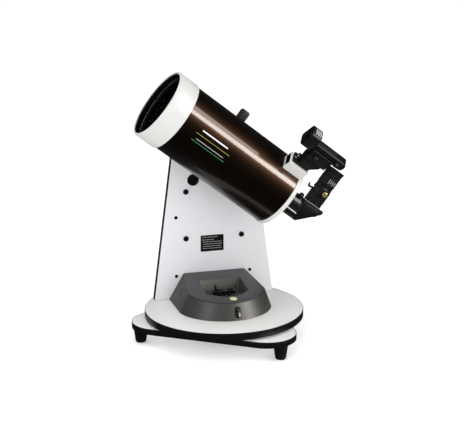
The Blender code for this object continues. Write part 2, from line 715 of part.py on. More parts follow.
# ---------------------------------------------------------------- turntable and housing
def housing_ring(half_width, radius, centre_y, start, inset, height):
    """One outline of the drive housing: flat at the panel, straight at the sides, round in front."""
    back = PANEL_FRONT - FIT - inset
    front = arc((0, centre_y), radius - inset, math.pi + start, 2 * math.pi - start, 2 * ARC_STEPS)
    outline = [(half_width - inset, back), (-half_width + inset, back)] + front
    return [(x, y, height(y)) for x, y in outline]


def housing_rings(inset, low):
    front_y = HOUSING_TOP_CENTRE - HOUSING_TOP_RADIUS
    slope = (HOUSING_BACK_HEIGHT - HOUSING_FRONT_HEIGHT) / (PANEL_FRONT - front_y)

    def top(y):
        return TURNTABLE_TOP + HOUSING_FRONT_HEIGHT + (y - front_y) * slope - inset

    foot = housing_ring(HOUSING_FOOT_HALF_WIDTH, HOUSING_FOOT_RADIUS, HOUSING_FOOT_CENTRE, HOUSING_FOOT_START,
                        inset, lambda y: low)
    head = housing_ring(HOUSING_TOP_HALF_WIDTH, HOUSING_TOP_RADIUS, HOUSING_TOP_CENTRE, HOUSING_TOP_START,
                        inset, top)
    return [foot, head]


def recess_ring(height, grow):
    """The recess at one height above the turntable, grown sideways by its draft."""
    more = grow + (height - RECESS_RIM_HEIGHT) * RECESS_DRAFT
    half = RECESS_HALF_WIDTH + more
    radius = RECESS_RADIUS + more
    start = math.acos(half / radius)
    outline = [(half, RECESS_BACK + more), (-half, RECESS_BACK + more)]
    outline += arc((0, RECESS_CENTRE), radius, math.pi + start, 2 * math.pi - start, 2 * ARC_STEPS)
    return [(x, y, TURNTABLE_TOP + height) for x, y in outline]


def build_housing(turntable):
    above = HOUSING_BACK_HEIGHT + CUT_HEADROOM
    housing = loft("base_housing", housing_rings(0, TURNTABLE_TOP + FIT), housing_grey(), parent=turntable)
    inside = housing_rings(HOUSING_WALL, TURNTABLE_TOP - OVERCUT)
    cavity = loft("housing_cavity", inside, None, parent=turntable)
    basin = [recess_ring(RECESS_FLOOR_HEIGHT - HOUSING_WALL, HOUSING_WALL), recess_ring(above, HOUSING_WALL)]
    cut(cavity, loft("recess_basin", basin, None, parent=turntable))
    cut(housing, cavity)
    recess = [recess_ring(RECESS_FLOOR_HEIGHT, 0), recess_ring(above, 0)]
    cut(housing, loft("recess_hollow", recess, None, parent=turntable))
    passage = rod(TURNTABLE_TOP, TURNTABLE_TOP + RECESS_FLOOR_HEIGHT + OVERCUT, STUD_RADIUS + 2 * RUNNING)
    cut(housing, turned("recess_hole", passage, None, sides=SMALL_ROUND, parent=turntable))

    share = SWITCH_HEIGHT / HOUSING_FRONT_HEIGHT
    out = (1 - share) * HOUSING_FOOT_RADIUS + share * HOUSING_TOP_RADIUS
    middle_y = (1 - share) * HOUSING_FOOT_CENTRE + share * HOUSING_TOP_CENTRE
    place = (out * math.sin(SWITCH_BEARING), middle_y - out * math.cos(SWITCH_BEARING),
             TURNTABLE_TOP + SWITCH_HEIGHT)
    lean = math.atan2(HOUSING_FOOT_RADIUS - HOUSING_TOP_RADIUS, HOUSING_FRONT_HEIGHT)
    tilt = (-lean, 0, SWITCH_BEARING)
    hole = stadium(SWITCH_LENGTH + 4 * RUNNING, SWITCH_WIDTH + 2 * RUNNING)
    reach = SWITCH_HOLE_DEPTH / 2
    cut(housing, prism("switch_hole", hole, -reach, reach, None, axis="Y", parent=turntable,
                       location=place, rotation=tilt))
    half = SWITCH_THICKNESS / 2
    prism("power_switch", stadium(SWITCH_LENGTH, SWITCH_WIDTH), -half, half, plastic_black(), axis="Y",
          parent=turntable, location=place, rotation=tilt)


def build_turntable(turntable):
    inner_radius = TURNTABLE_RADIUS - EDGE_BAND_THICKNESS
    board = tube(TURNTABLE_BOTTOM, TURNTABLE_TOP, STUD_RADIUS + RUNNING, inner_radius - FIT)
    turned("turntable_board", board, board_white(), sides=BOARD_ROUND, parent=turntable)
    turned("turntable_edge_band", tube(TURNTABLE_BOTTOM, TURNTABLE_TOP, inner_radius, TURNTABLE_RADIUS),
           edge_black(), sides=BOARD_ROUND, parent=turntable)

    width, length, height = BATTERY_TRAY_SIZE
    low = TURNTABLE_TOP + FIT
    tray = prism("battery_tray", rectangle(-BAY_INNER_EDGE - width, -BAY_INNER_EDGE,
                                           BAY_BACK_EDGE - length, BAY_BACK_EDGE),
                 low, low + height, plastic_black(), parent=turntable)
    hollow = rectangle(-BAY_INNER_EDGE - width + TRAY_WALL, -BAY_INNER_EDGE - TRAY_WALL,
                       BAY_BACK_EDGE - length + TRAY_WALL, BAY_BACK_EDGE - TRAY_WALL)
    cut(tray, prism("battery_tray_hollow", hollow, low + TRAY_WALL, low + height + OVERCUT, None,
                    parent=turntable))

    width, length, thickness = CONTROL_BOARD_SIZE
    first = BAY_INNER_EDGE
    last = first + width
    under = low + BOARD_STAND
    face = under + thickness
    chip_first, chip_last = first + 0.3 * width, first + 0.8 * width
    section = [
        (first, low), (first + BOARD_STAND, low), (first + BOARD_STAND, under),
        (last - BOARD_STAND, under), (last - BOARD_STAND, low), (last, low), (last, face),
        (chip_last, face), (chip_last, face + CHIP_HEIGHT), (chip_first, face + CHIP_HEIGHT),
        (chip_first, face), (first, face),
    ]
    prism("control_board", section, BAY_BACK_EDGE - length, BAY_BACK_EDGE, circuit_green(), axis="Y",
          parent=turntable)


# ---------------------------------------------------------------- side panel
def panel_path(inset):
    """The panel's sides and top, from its lower right corner round to its lower left one."""
    low = TURNTABLE_TOP + FIT
    high = TURNTABLE_TOP + PANEL_HEIGHT - inset
    foot = PANEL_FOOT_HALF_WIDTH - inset / math.cos(PANEL_SLOPE)
    head = foot - (high - low) * math.tan(PANEL_SLOPE)
    corners = [(-foot, low), (foot, low), (head, high), (-head, high)]
    outline = rounded(corners, PANEL_CORNER_RADIUS - inset, skip=(0, 1))
    return outline[1:] + outline[:1]


def build_side_panel(turntable):
    panel = prism("side_panel", panel_path(EDGE_BAND_THICKNESS + FIT), PANEL_FRONT, PANEL_BACK, board_white(),
                  axis="Y", parent=turntable)
    bushing_radius = ALTITUDE_SHAFT_RADIUS + RUNNING + BUSHING_WALL
    bore = rod(PANEL_FRONT - OVERCUT, PANEL_BACK + OVERCUT, bushing_radius + FIT)
    cut(panel, turned("panel_bore", bore, None, axis="Y", sides=MIDDLE_ROUND, parent=turntable,
                      location=(0, 0, ALTITUDE_Z)))
    turned("altitude_bushing", tube(PANEL_FRONT + FIT, PANEL_BACK - FIT, ALTITUDE_SHAFT_RADIUS + RUNNING,
                                    bushing_radius), brass(), axis="Y", sides=MIDDLE_ROUND, parent=turntable,
           location=(0, 0, ALTITUDE_Z))

    outer = panel_path(0)
    inner = panel_path(EDGE_BAND_THICKNESS)
    prism("panel_edge_band", outer + inner[::-1], PANEL_FRONT, PANEL_BACK, edge_black(), axis="Y",
          parent=turntable)

    head_front = PANEL_FRONT - FIT - PANEL_BOLT_HEAD_THICKNESS
    shank_back = PANEL_BACK - PANEL_BOLT_COVER
    profile = [
        (head_front, 0),
        (head_front, PANEL_BOLT_HEAD_RADIUS * 0.8),
        (head_front + PANEL_BOLT_HEAD_THICKNESS * 0.4, PANEL_BOLT_HEAD_RADIUS),
        (PANEL_FRONT - FIT, PANEL_BOLT_HEAD_RADIUS),
        (PANEL_FRONT - FIT, PANEL_BOLT_RADIUS),
        (shank_back, PANEL_BOLT_RADIUS),
        (shank_back, 0),
    ]
    for number, (x, height) in enumerate(PANEL_BOLT_PLACES, 1):
        place = (x, 0, TURNTABLE_TOP + height)
        turned(f"panel_bolt_{number}", profile, plastic_black(), axis="Y", sides=SMALL_ROUND,
               parent=turntable, location=place)
        hole = rod(PANEL_FRONT - OVERCUT, PANEL_BACK + OVERCUT, PANEL_BOLT_RADIUS + FIT)
        cut(panel, turned(f"panel_bolt_hole_{number}", hole, None, axis="Y", sides=SMALL_ROUND,
                          parent=turntable, location=place))


def build_altitude_drive(turntable):
    middle = empty("altitude_drive", (0, 0, ALTITUDE_Z), parent=turntable)
    cover_front = PANEL_BACK + FIT
    cover_back = cover_front + COVER_DEPTH

    def cover_outline(inset):
        corners = rectangle(-COVER_HALF_WIDTH + inset, COVER_HALF_WIDTH - inset, -COVER_BOTTOM + inset,
                            COVER_TOP - inset)
        return rounded(corners, COVER_CORNER_RADIUS - inset)

    cover = prism("altitude_cover", cover_outline(0), cover_front, cover_back, housing_grey(), axis="Y",
                  parent=middle)
    cut(cover, prism("altitude_cover_hollow", cover_outline(COVER_WALL), cover_front - OVERCUT,
                     cover_back - COVER_WALL, None, axis="Y", parent=middle))
    wheel_y = PANEL_BACK + WHEEL_SETBACK + WHEEL_WIDTH / 2
    turned("altitude_worm", worm_profile(WORM_SHAFT_REACH), steel(), axis="Z", sides=12, parent=middle,
           location=(ALTITUDE_WORM_X, wheel_y, 0))
    motor_y = cover_front + FIT + GEARBOX_SIZE / 2 + FIT
    place = (ALTITUDE_WORM_X, motor_y, -WORM_SHAFT_REACH - FIT)
    hanger = empty("altitude_motor_mount", place, (math.pi, 0, 0), middle)
    gear_motor("altitude_motor", "Z", hanger, (0, 0, 0))


# ---------------------------------------------------------------- altitude shaft and saddle
def build_altitude(axis):
    shaft_end = PANEL_BACK + FIT + COVER_DEPTH - COVER_WALL - 2 * OVERCUT
    profile = [
        (FLANGE_FRONT, 0),
        (FLANGE_FRONT, ALTITUDE_FLANGE_RADIUS),
        (FLANGE_BACK, ALTITUDE_FLANGE_RADIUS),
        (FLANGE_BACK, ALTITUDE_SHAFT_RADIUS),
        (shaft_end, ALTITUDE_SHAFT_RADIUS),
        (shaft_end, 0),
    ]
    turned("altitude_shaft", profile, steel(), axis="Y", sides=MIDDLE_ROUND, parent=axis)
    wheel_low = PANEL_BACK + WHEEL_SETBACK
    wheel = prism("altitude_wheel", gear(ALTITUDE_WHEEL_RADIUS, WHEEL_TOOTH_DEPTH, ALTITUDE_TEETH),
                  wheel_low, wheel_low + WHEEL_WIDTH, brass(), axis="Y", parent=axis)
    bore = rod(wheel_low - OVERCUT, wheel_low + WHEEL_WIDTH + OVERCUT, ALTITUDE_SHAFT_RADIUS + FIT)
    cut(wheel, turned("altitude_wheel_bore", bore, None, axis="Y", sides=MIDDLE_ROUND, parent=axis))


def bar_half_width(y):
    """Half the dovetail bar's width at a distance y from the azimuth axis."""
    return BAR_HALF_WIDTH - BAR_SLANT * (BAR_BACK - y) / BAR_THICKNESS


def build_saddle(axis):
    grip = SADDLE_FLOOR - SADDLE_GRIP
    gap = 2 * FIT
    jaw_low = BAR_HALF_WIDTH + gap
    jaw_high = jaw_low + JAW_HEIGHT
    wall_low = jaw_high + JAW_ROOM
    wall_high = wall_low + SADDLE_WALL
    lip_low = -BAR_HALF_WIDTH - gap - SADDLE_LIP
    section = [
        (SADDLE_BACK, wall_high),
        (grip, wall_high),
        (grip, wall_low),
        (SADDLE_FLOOR, wall_low),
        (SADDLE_FLOOR, -bar_half_width(SADDLE_FLOOR) - gap),
        (grip, -bar_half_width(grip) - gap),
        (grip, lip_low),
        (SADDLE_BACK, lip_low),
    ]
    saddle = prism("saddle", section, -SADDLE_HALF_LENGTH, SADDLE_HALF_LENGTH, anodised_black(), axis="X",
                   parent=axis)
    jaw_back = SADDLE_FLOOR - 2 * RUNNING
    jaw = [
        (jaw_back, bar_half_width(jaw_back) + gap),
        (jaw_back, jaw_high),
        (grip, jaw_high),
        (grip, bar_half_width(grip) + gap),
    ]
    prism("saddle_jaw", jaw, -JAW_HALF_LENGTH, JAW_HALF_LENGTH, aluminium(), axis="X", parent=axis)

    knob_place = (KNOB_STATION_OFFSET, (grip + SADDLE_FLOOR) / 2, 0)
    hole = rod(wall_low - OVERCUT, wall_high + OVERCUT, KNOB_STEM_RADIUS + RUNNING)
    cut(saddle, turned("saddle_screw_hole", hole, None, sides=SMALL_ROUND, parent=axis, location=knob_place))
    knob_top = wall_high + KNOB_RISE
    knob_low = knob_top - KNOB_LENGTH
    profile = [
        (jaw_high + SCREW_GAP, 0),
        (jaw_high + SCREW_GAP, KNOB_STEM_RADIUS),
        (knob_low, KNOB_STEM_RADIUS),
        (knob_low, KNOB_RADIUS - KNOB_ROUNDING / 2),
        (knob_low + KNOB_ROUNDING / 2, KNOB_RADIUS),
        (knob_top - KNOB_ROUNDING, KNOB_RADIUS),
        (knob_top - KNOB_ROUNDING * 0.3, KNOB_RADIUS - KNOB_ROUNDING * 0.3),
        (knob_top, KNOB_RADIUS - KNOB_ROUNDING),
        (knob_top, 0),
    ]
    turned("saddle_knob", profile, plastic_black(), sides=24, parent=axis, location=knob_place)


def build_dovetail_bar(axis):
    half_front = bar_half_width(BAR_FRONT)
    section = [(BAR_BACK, -BAR_HALF_WIDTH), (BAR_BACK, BAR_HALF_WIDTH), (BAR_FRONT, half_front),
               (BAR_FRONT, -half_front)]
    prism("dovetail_bar", section, -BAR_LENGTH / 2, BAR_LENGTH / 2, aluminium(), axis="X", parent=axis)


# ---------------------------------------------------------------- optical tube
def build_tube(optics):
    inner = TUBE_RADIUS - TUBE_WALL
    socket = TUBE_RADIUS + FIT
    shell_front = FRONT_RING_LENGTH - FRONT_RING_OVERLAP + FIT
    rear_front = TUBE_END - REAR_RING_LENGTH
    shell_back = rear_front + REAR_SOCKET_DEPTH - FIT
    turned("tube_shell", tube(shell_front, shell_back, inner, TUBE_RADIUS), tube_enamel(), axis="X",
           parent=optics)

    seat = CORRECTOR_STATION + CORRECTOR_EDGE_THICKNESS + FIT
    pocket = CORRECTOR_RADIUS + FIT
    bore = RING_RADIUS - FRONT_BORE_WALL
    profile = [
        (0, bore),
        (0, RING_RADIUS - RING_CHAMFER),
        (RING_CHAMFER, RING_RADIUS),
        (FRONT_RING_LENGTH - RING_CHAMFER, RING_RADIUS),
        (FRONT_RING_LENGTH, RING_RADIUS - RING_CHAMFER),
        (FRONT_RING_LENGTH, socket),
        (seat + SEAT_THICKNESS, socket),
        (seat + SEAT_THICKNESS, pocket - CORRECTOR_SHOULDER),
        (seat, pocket - CORRECTOR_SHOULDER),
        (seat, pocket),
        (CORRECTOR_STATION - FIT, pocket),
        (CORRECTOR_STATION - FIT, bore),
    ]
    turned("front_ring", profile, enamel_white(), axis="X", parent=optics)
    retainer_back = CORRECTOR_STATION - 2 * FIT
    turned("corrector_retainer", tube(retainer_back - RETAINER_THICKNESS, retainer_back,
                                      pocket - CORRECTOR_SHOULDER, bore - FIT), plastic_black(), axis="X",
           parent=optics)

    rear_back = REAR_CELL_BACK
    profile = [
        (rear_front, REAR_HOLE_RADIUS),
        (rear_front, RING_RADIUS - RING_CHAMFER),
        (rear_front + RING_CHAMFER, RING_RADIUS),
        (TUBE_END - RING_CHAMFER, RING_RADIUS),
        (TUBE_END, RING_RADIUS - RING_CHAMFER),
        (rear_back, REAR_DOME_RADIUS),
        (rear_back, REAR_HOLE_RADIUS),
    ]
    cell = turned("rear_cell", profile, enamel_white(), axis="X", parent=optics)
    leaning = empty("finder_direction", (TUBE_END, 0, 0), (FINDER_BEARING, 0, 0), optics)
    boss = rectangle(BOSS_START, BOSS_END, TUBE_RADIUS - BOSS_ROOT, BOSS_TOP)
    join(cell, prism("finder_boss", boss, -BOSS_HALF_WIDTH, BOSS_HALF_WIDTH, enamel_white(), axis="Y",
                     parent=leaning))
    socket_space = rod(TUBE_END + BOSS_START - OVERCUT, rear_front + REAR_SOCKET_DEPTH, socket)
    cut(cell, turned("rear_socket", socket_space, None, axis="X", parent=optics))
    screw_hole = rod(rear_front, rear_back + OVERCUT, FOCUS_SCREW_RADIUS + RUNNING)
    cut(cell, turned("focus_hole", screw_hole, None, axis="X", sides=SMALL_ROUND, parent=optics,
                     location=focus_place()))

    flange_back = rear_back + FIT + VISUAL_BACK_FLANGE_THICKNESS
    neck = REAR_HOLE_RADIUS - FIT
    profile = [
        (rear_front + REAR_SOCKET_DEPTH + FIT, BORE_RADIUS),
        (rear_front + REAR_SOCKET_DEPTH + FIT, neck),
        (rear_back + FIT, neck),
        (rear_back + FIT, VISUAL_BACK_FLANGE_RADIUS),
        (flange_back, VISUAL_BACK_FLANGE_RADIUS),
        (flange_back, VISUAL_BACK_RADIUS),
        (VISUAL_BACK_END, VISUAL_BACK_RADIUS),
        (VISUAL_BACK_END, BORE_RADIUS),
    ]
    visual_back = turned("visual_back", profile, anodised_black(), axis="X", sides=MIDDLE_ROUND,
                         parent=optics)
    thumbscrew("visual_back_screw", optics, VISUAL_BACK_RADIUS, anodised_black(), visual_back,
               (VISUAL_BACK_END - SCREW_SETBACK, 0, 0), (VISUAL_BACK_SCREW_BEARING, 0, 0))


def thumbscrew(name, parent, wall_radius, finish, threaded, location, rotation):
    """A knurled thumbscrew that clamps a barrel; it stands along its own +Z, through a tube's wall."""
    mount = empty(name + "_axis", location, rotation, parent)
    neck = wall_radius + THUMBSCREW_NECK
    tip = BORE_RADIUS + FIT
    profile = [
        (tip, 0),
        (tip, THUMBSCREW_RADIUS),
        (neck, THUMBSCREW_RADIUS),
        (neck, THUMBSCREW_HEAD_RADIUS - 2 * FIT),
        (neck + 2 * FIT, THUMBSCREW_HEAD_RADIUS),
        (neck + THUMBSCREW_HEAD_LENGTH - 2 * FIT, THUMBSCREW_HEAD_RADIUS),
        (neck + THUMBSCREW_HEAD_LENGTH, THUMBSCREW_HEAD_RADIUS - 2 * FIT),
        (neck + THUMBSCREW_HEAD_LENGTH, 0),
    ]
    turned(name, profile, finish, sides=12, parent=mount)
    hole = rod(BORE_RADIUS - OVERCUT, wall_radius + OVERCUT, THUMBSCREW_RADIUS + FIT)
    cut(threaded, turned(name + "_hole", hole, None, sides=12, parent=mount))


def focus_place():
    """Where the focus screw's axis crosses the tube's cross-section."""
    return (0, -FOCUS_DISTANCE * math.sin(FOCUS_BEARING), FOCUS_DISTANCE * math.cos(FOCUS_BEARING))


def build_optics(optics):
    clear = CORRECTOR_RADIUS - CORRECTOR_SHOULDER - RUNNING

    def dish(edge, curvature):
        """Half a shallow dish with a flat rim, from the rim to the middle."""
        points = [(edge, CORRECTOR_RADIUS)]
        for k in range(DISH_STEPS + 1):
            radius = clear * (1 - k / DISH_STEPS)
            points.append((edge + (clear ** 2 - radius ** 2) / (2 * curvature), radius))
        return points

    front = dish(CORRECTOR_STATION, CORRECTOR_CURVATURE - CORRECTOR_EDGE_THICKNESS / 2)
    back = dish(CORRECTOR_STATION + CORRECTOR_EDGE_THICKNESS, CORRECTOR_CURVATURE)
    turned("corrector_lens", front[::-1] + back, glass(), axis="X", parent=optics)

    cup = back[-1][0] + FIT
    rim = cup + BAFFLE_CUP_LENGTH
    profile = [
        (cup, 0),
        (cup, BAFFLE_CUP_RADIUS),
        (rim, BAFFLE_CUP_RADIUS + BAFFLE_CUP_FLARE),
        (rim, BAFFLE_CUP_RADIUS + BAFFLE_CUP_FLARE - BAFFLE_CUP_WALL),
        (cup + BAFFLE_CUP_WALL, BAFFLE_CUP_RADIUS - BAFFLE_CUP_WALL),
        (cup + BAFFLE_CUP_WALL, 0),
    ]
    turned("secondary_baffle", profile, plastic_black(), axis="X", sides=MIDDLE_ROUND, parent=optics)

    cell_front = TUBE_END - REAR_RING_LENGTH + REAR_SOCKET_DEPTH
    flange_back = cell_front - FIT
    outer = BAFFLE_TUBE_RADIUS
    inner = BAFFLE_TUBE_RADIUS - BAFFLE_TUBE_WALL
    flange_front = flange_back - BAFFLE_FLANGE_THICKNESS
    profile = [
        (flange_back - BAFFLE_TUBE_LENGTH, inner),
        (flange_back - BAFFLE_TUBE_LENGTH, outer),
        (flange_front, outer),
        (flange_front, BAFFLE_FLANGE_RADIUS),
        (flange_back, BAFFLE_FLANGE_RADIUS),
        (flange_back, inner),
    ]
    turned("primary_baffle", profile, plastic_black(), axis="X", sides=MIDDLE_ROUND, parent=optics)

    sleeve_inner = BAFFLE_TUBE_RADIUS + RUNNING
    sleeve_outer = sleeve_inner + SLEEVE_WALL
    hole = sleeve_outer + FIT
    face = MIRROR_BACK_STATION - MIRROR_THICKNESS
    profile = [
        (face + MIRROR_SAG, hole),
        (face + MIRROR_SAG * 0.62, hole + (MIRROR_RADIUS - hole) * 0.45),
        (face, MIRROR_RADIUS),
        (MIRROR_BACK_STATION, MIRROR_RADIUS),
        (MIRROR_BACK_STATION, hole),
    ]
    turned("primary_mirror", profile, mirror_coating(), axis="X", parent=optics)
    plate = MIRROR_BACK_STATION + FIT
    plate_back = plate + CARRIAGE_THICKNESS
    profile = [
        (face, sleeve_inner),
        (face, sleeve_outer),
        (plate, sleeve_outer),
        (plate, CARRIAGE_RADIUS),
        (plate_back, CARRIAGE_RADIUS),
        (plate_back, sleeve_inner),
    ]
    carriage = turned("mirror_carriage", profile, aluminium(), axis="X", sides=MIDDLE_ROUND, parent=optics)
    nut_back = plate_back + FOCUS_NUT_LENGTH
    place = focus_place()
    nut = rod(plate_back - OVERCUT, nut_back, FOCUS_NUT_RADIUS)
    join(carriage, turned("focus_nut", nut, aluminium(), axis="X", sides=SMALL_ROUND, parent=optics,
                          location=place))
    thread = rod(plate - OVERCUT, nut_back + OVERCUT, FOCUS_SCREW_RADIUS + FIT)
    cut(carriage, turned("focus_thread", thread, None, axis="X", sides=SMALL_ROUND, parent=optics,
                         location=place))

    knob_front = REAR_CELL_BACK + FOCUS_KNOB_STANDOFF
    knob_back = knob_front + FOCUS_KNOB_LENGTH
    profile = [
        (cell_front - FOCUS_SCREW_REACH, 0),
        (cell_front - FOCUS_SCREW_REACH, FOCUS_SCREW_RADIUS),
        (knob_front, FOCUS_SCREW_RADIUS),
        (knob_front, FOCUS_KNOB_RADIUS - 2 * RING_CHAMFER),
        (knob_front + 2 * RING_CHAMFER, FOCUS_KNOB_RADIUS),
        (knob_back - 3 * RING_CHAMFER, FOCUS_KNOB_RADIUS),
        (knob_back, FOCUS_KNOB_RADIUS - 3 * RING_CHAMFER),
        (knob_back, 0),
    ]
    turned("focus_knob", profile, rubber_black(), axis="X", sides=24, parent=optics, location=place)


# ---------------------------------------------------------------- diagonal and eyepiece
def build_diagonal(optics):
    nose_front = VISUAL_BACK_END - NOSE_LENGTH
    inner = BARREL_RADIUS - NOSE_WALL
    back = COLLAR_BACK
    crossing = EYEPIECE_STATION
    slant = MIRROR_PLATE_SETBACK * math.sqrt(2) + DIAGONAL_WALL

    def outline(inset):
        """The housing's side view: a block with its lower back corner cut off at 45 degrees."""
        reach = crossing + slant - inset * math.sqrt(2)
        top = DIAGONAL_TOP - inset
        low = -DIAGONAL_BOTTOM + inset
        tail = min(reach + top, crossing + HOLDER_RADIUS + DIAGONAL_TAIL - inset)
        front = back + inset
        return [(front, low), (reach + low, low), (tail, tail - reach), (tail, top), (front, top)]

    body = prism("diagonal_body", outline(0), -DIAGONAL_HALF_WIDTH, DIAGONAL_HALF_WIDTH, plastic_black(),
                 axis="Y", parent=optics)
    half_hollow = DIAGONAL_HALF_WIDTH - DIAGONAL_WALL
    nose = [(nose_front, BARREL_RADIUS), (back - COLLAR_THICKNESS, BARREL_RADIUS),
            (back - COLLAR_THICKNESS, HOLDER_RADIUS), (back + OVERCUT / 2, HOLDER_RADIUS)]
    nose_solid = [(nose_front, 0)] + nose + [(back + OVERCUT / 2, 0)]
    join(body, turned("diagonal_nose", nose_solid, plastic_black(), axis="X", sides=MIDDLE_ROUND,
                      parent=optics))
    cut(body, prism("diagonal_hollow", outline(DIAGONAL_WALL), -half_hollow, half_hollow, None, axis="Y",
                    parent=optics))
    cut(body, turned("diagonal_nose_bore", rod(nose_front - OVERCUT, back + DIAGONAL_WALL + OVERCUT, inner),
                     None, axis="X", sides=MIDDLE_ROUND, parent=optics))
    light = rod(DIAGONAL_TOP - DIAGONAL_WALL - OVERCUT, DIAGONAL_TOP + OVERCUT, inner)
    cut(body, turned("diagonal_top_bore", light, None, sides=MIDDLE_ROUND, parent=optics,
                     location=(crossing, 0, 0)))

    half_plate = (DIAGONAL_TOP - DIAGONAL_WALL) * math.sqrt(2) - MIRROR_PLATE_THICKNESS
    plate = rectangle(-half_plate, half_plate, -MIRROR_PLATE_THICKNESS, 0)
    prism("diagonal_mirror", plate, -half_hollow + FIT, half_hollow - FIT, mirror_coating(), axis="Y",
          parent=optics, location=(crossing, 0, 0), rotation=(0, -math.pi / 4, 0))

    holder_axis = empty("eyepiece_axis", (crossing, 0, 0), parent=optics)
    holder = turned("eyepiece_holder", tube(HOLDER_BOTTOM, HOLDER_TOP, BORE_RADIUS, HOLDER_RADIUS),
                    anodised_black(), sides=MIDDLE_ROUND, parent=holder_axis)
    screw_height = HOLDER_TOP - SCREW_SETBACK
    thumbscrew("holder_screw_1", holder_axis, HOLDER_RADIUS, brass(), holder, (0, 0, screw_height),
               (math.pi / 2, 0, 0))
    thumbscrew("holder_screw_2", holder_axis, HOLDER_RADIUS, steel(), holder, (0, 0, screw_height),
               (math.pi / 2, 0, -math.pi / 2))
    return holder_axis


def build_eyepiece(holder_axis):
    shoulder = HOLDER_TOP + FIT
    top = shoulder + EYEPIECE_BODY_LENGTH
    lens_low = top - EYE_LENS_THICKNESS
    bore = BARREL_RADIUS - NOSE_WALL
    lens_bore = EYE_LENS_RADIUS + FIT
    waist = EYEPIECE_BODY_RADIUS - EYEPIECE_WAIST
    profile = [
        (shoulder - BARREL_LENGTH, bore),
        (shoulder - BARREL_LENGTH, BARREL_RADIUS),
        (shoulder, BARREL_RADIUS),
        (shoulder, EYEPIECE_BODY_RADIUS),
        (shoulder + 0.30 * EYEPIECE_BODY_LENGTH, EYEPIECE_BODY_RADIUS),
        (shoulder + 0.34 * EYEPIECE_BODY_LENGTH, waist),
        (shoulder + 0.80 * EYEPIECE_BODY_LENGTH, waist),
        (shoulder + 0.84 * EYEPIECE_BODY_LENGTH, EYEPIECE_BODY_RADIUS),
        (top, EYEPIECE_BODY_RADIUS),
        (top, lens_bore),
        (lens_low - FIT, lens_bore),
        (lens_low - FIT, EYE_LENS_RADIUS - EYE_LENS_LEDGE),
        (shoulder, EYE_LENS_RADIUS - EYE_LENS_LEDGE),
        (shoulder - FIELD_STEP, bore),
    ]
    turned("eyepiece_body", profile, anodised_black(), sides=MIDDLE_ROUND, parent=holder_axis)
    turned("eye_lens", rod(lens_low, top, EYE_LENS_RADIUS), glass(), sides=MIDDLE_ROUND, parent=holder_axis)
    cup_low = top + FIT
    cup_high = cup_low + EYECUP_LENGTH
    profile = [
        (cup_low, lens_bore + EYECUP_LEDGE),
        (cup_low, EYEPIECE_BODY_RADIUS),
        (cup_high, EYECUP_RADIUS),
        (cup_high, EYECUP_RADIUS - EYECUP_WALL),
        (cup_low + EYECUP_WALL, EYEPIECE_BODY_RADIUS - EYECUP_WALL),
        (cup_low + EYECUP_WALL, lens_bore + EYECUP_LEDGE),
    ]
    turned("eye_cup", profile, rubber_black(), sides=MIDDLE_ROUND, parent=holder_axis)


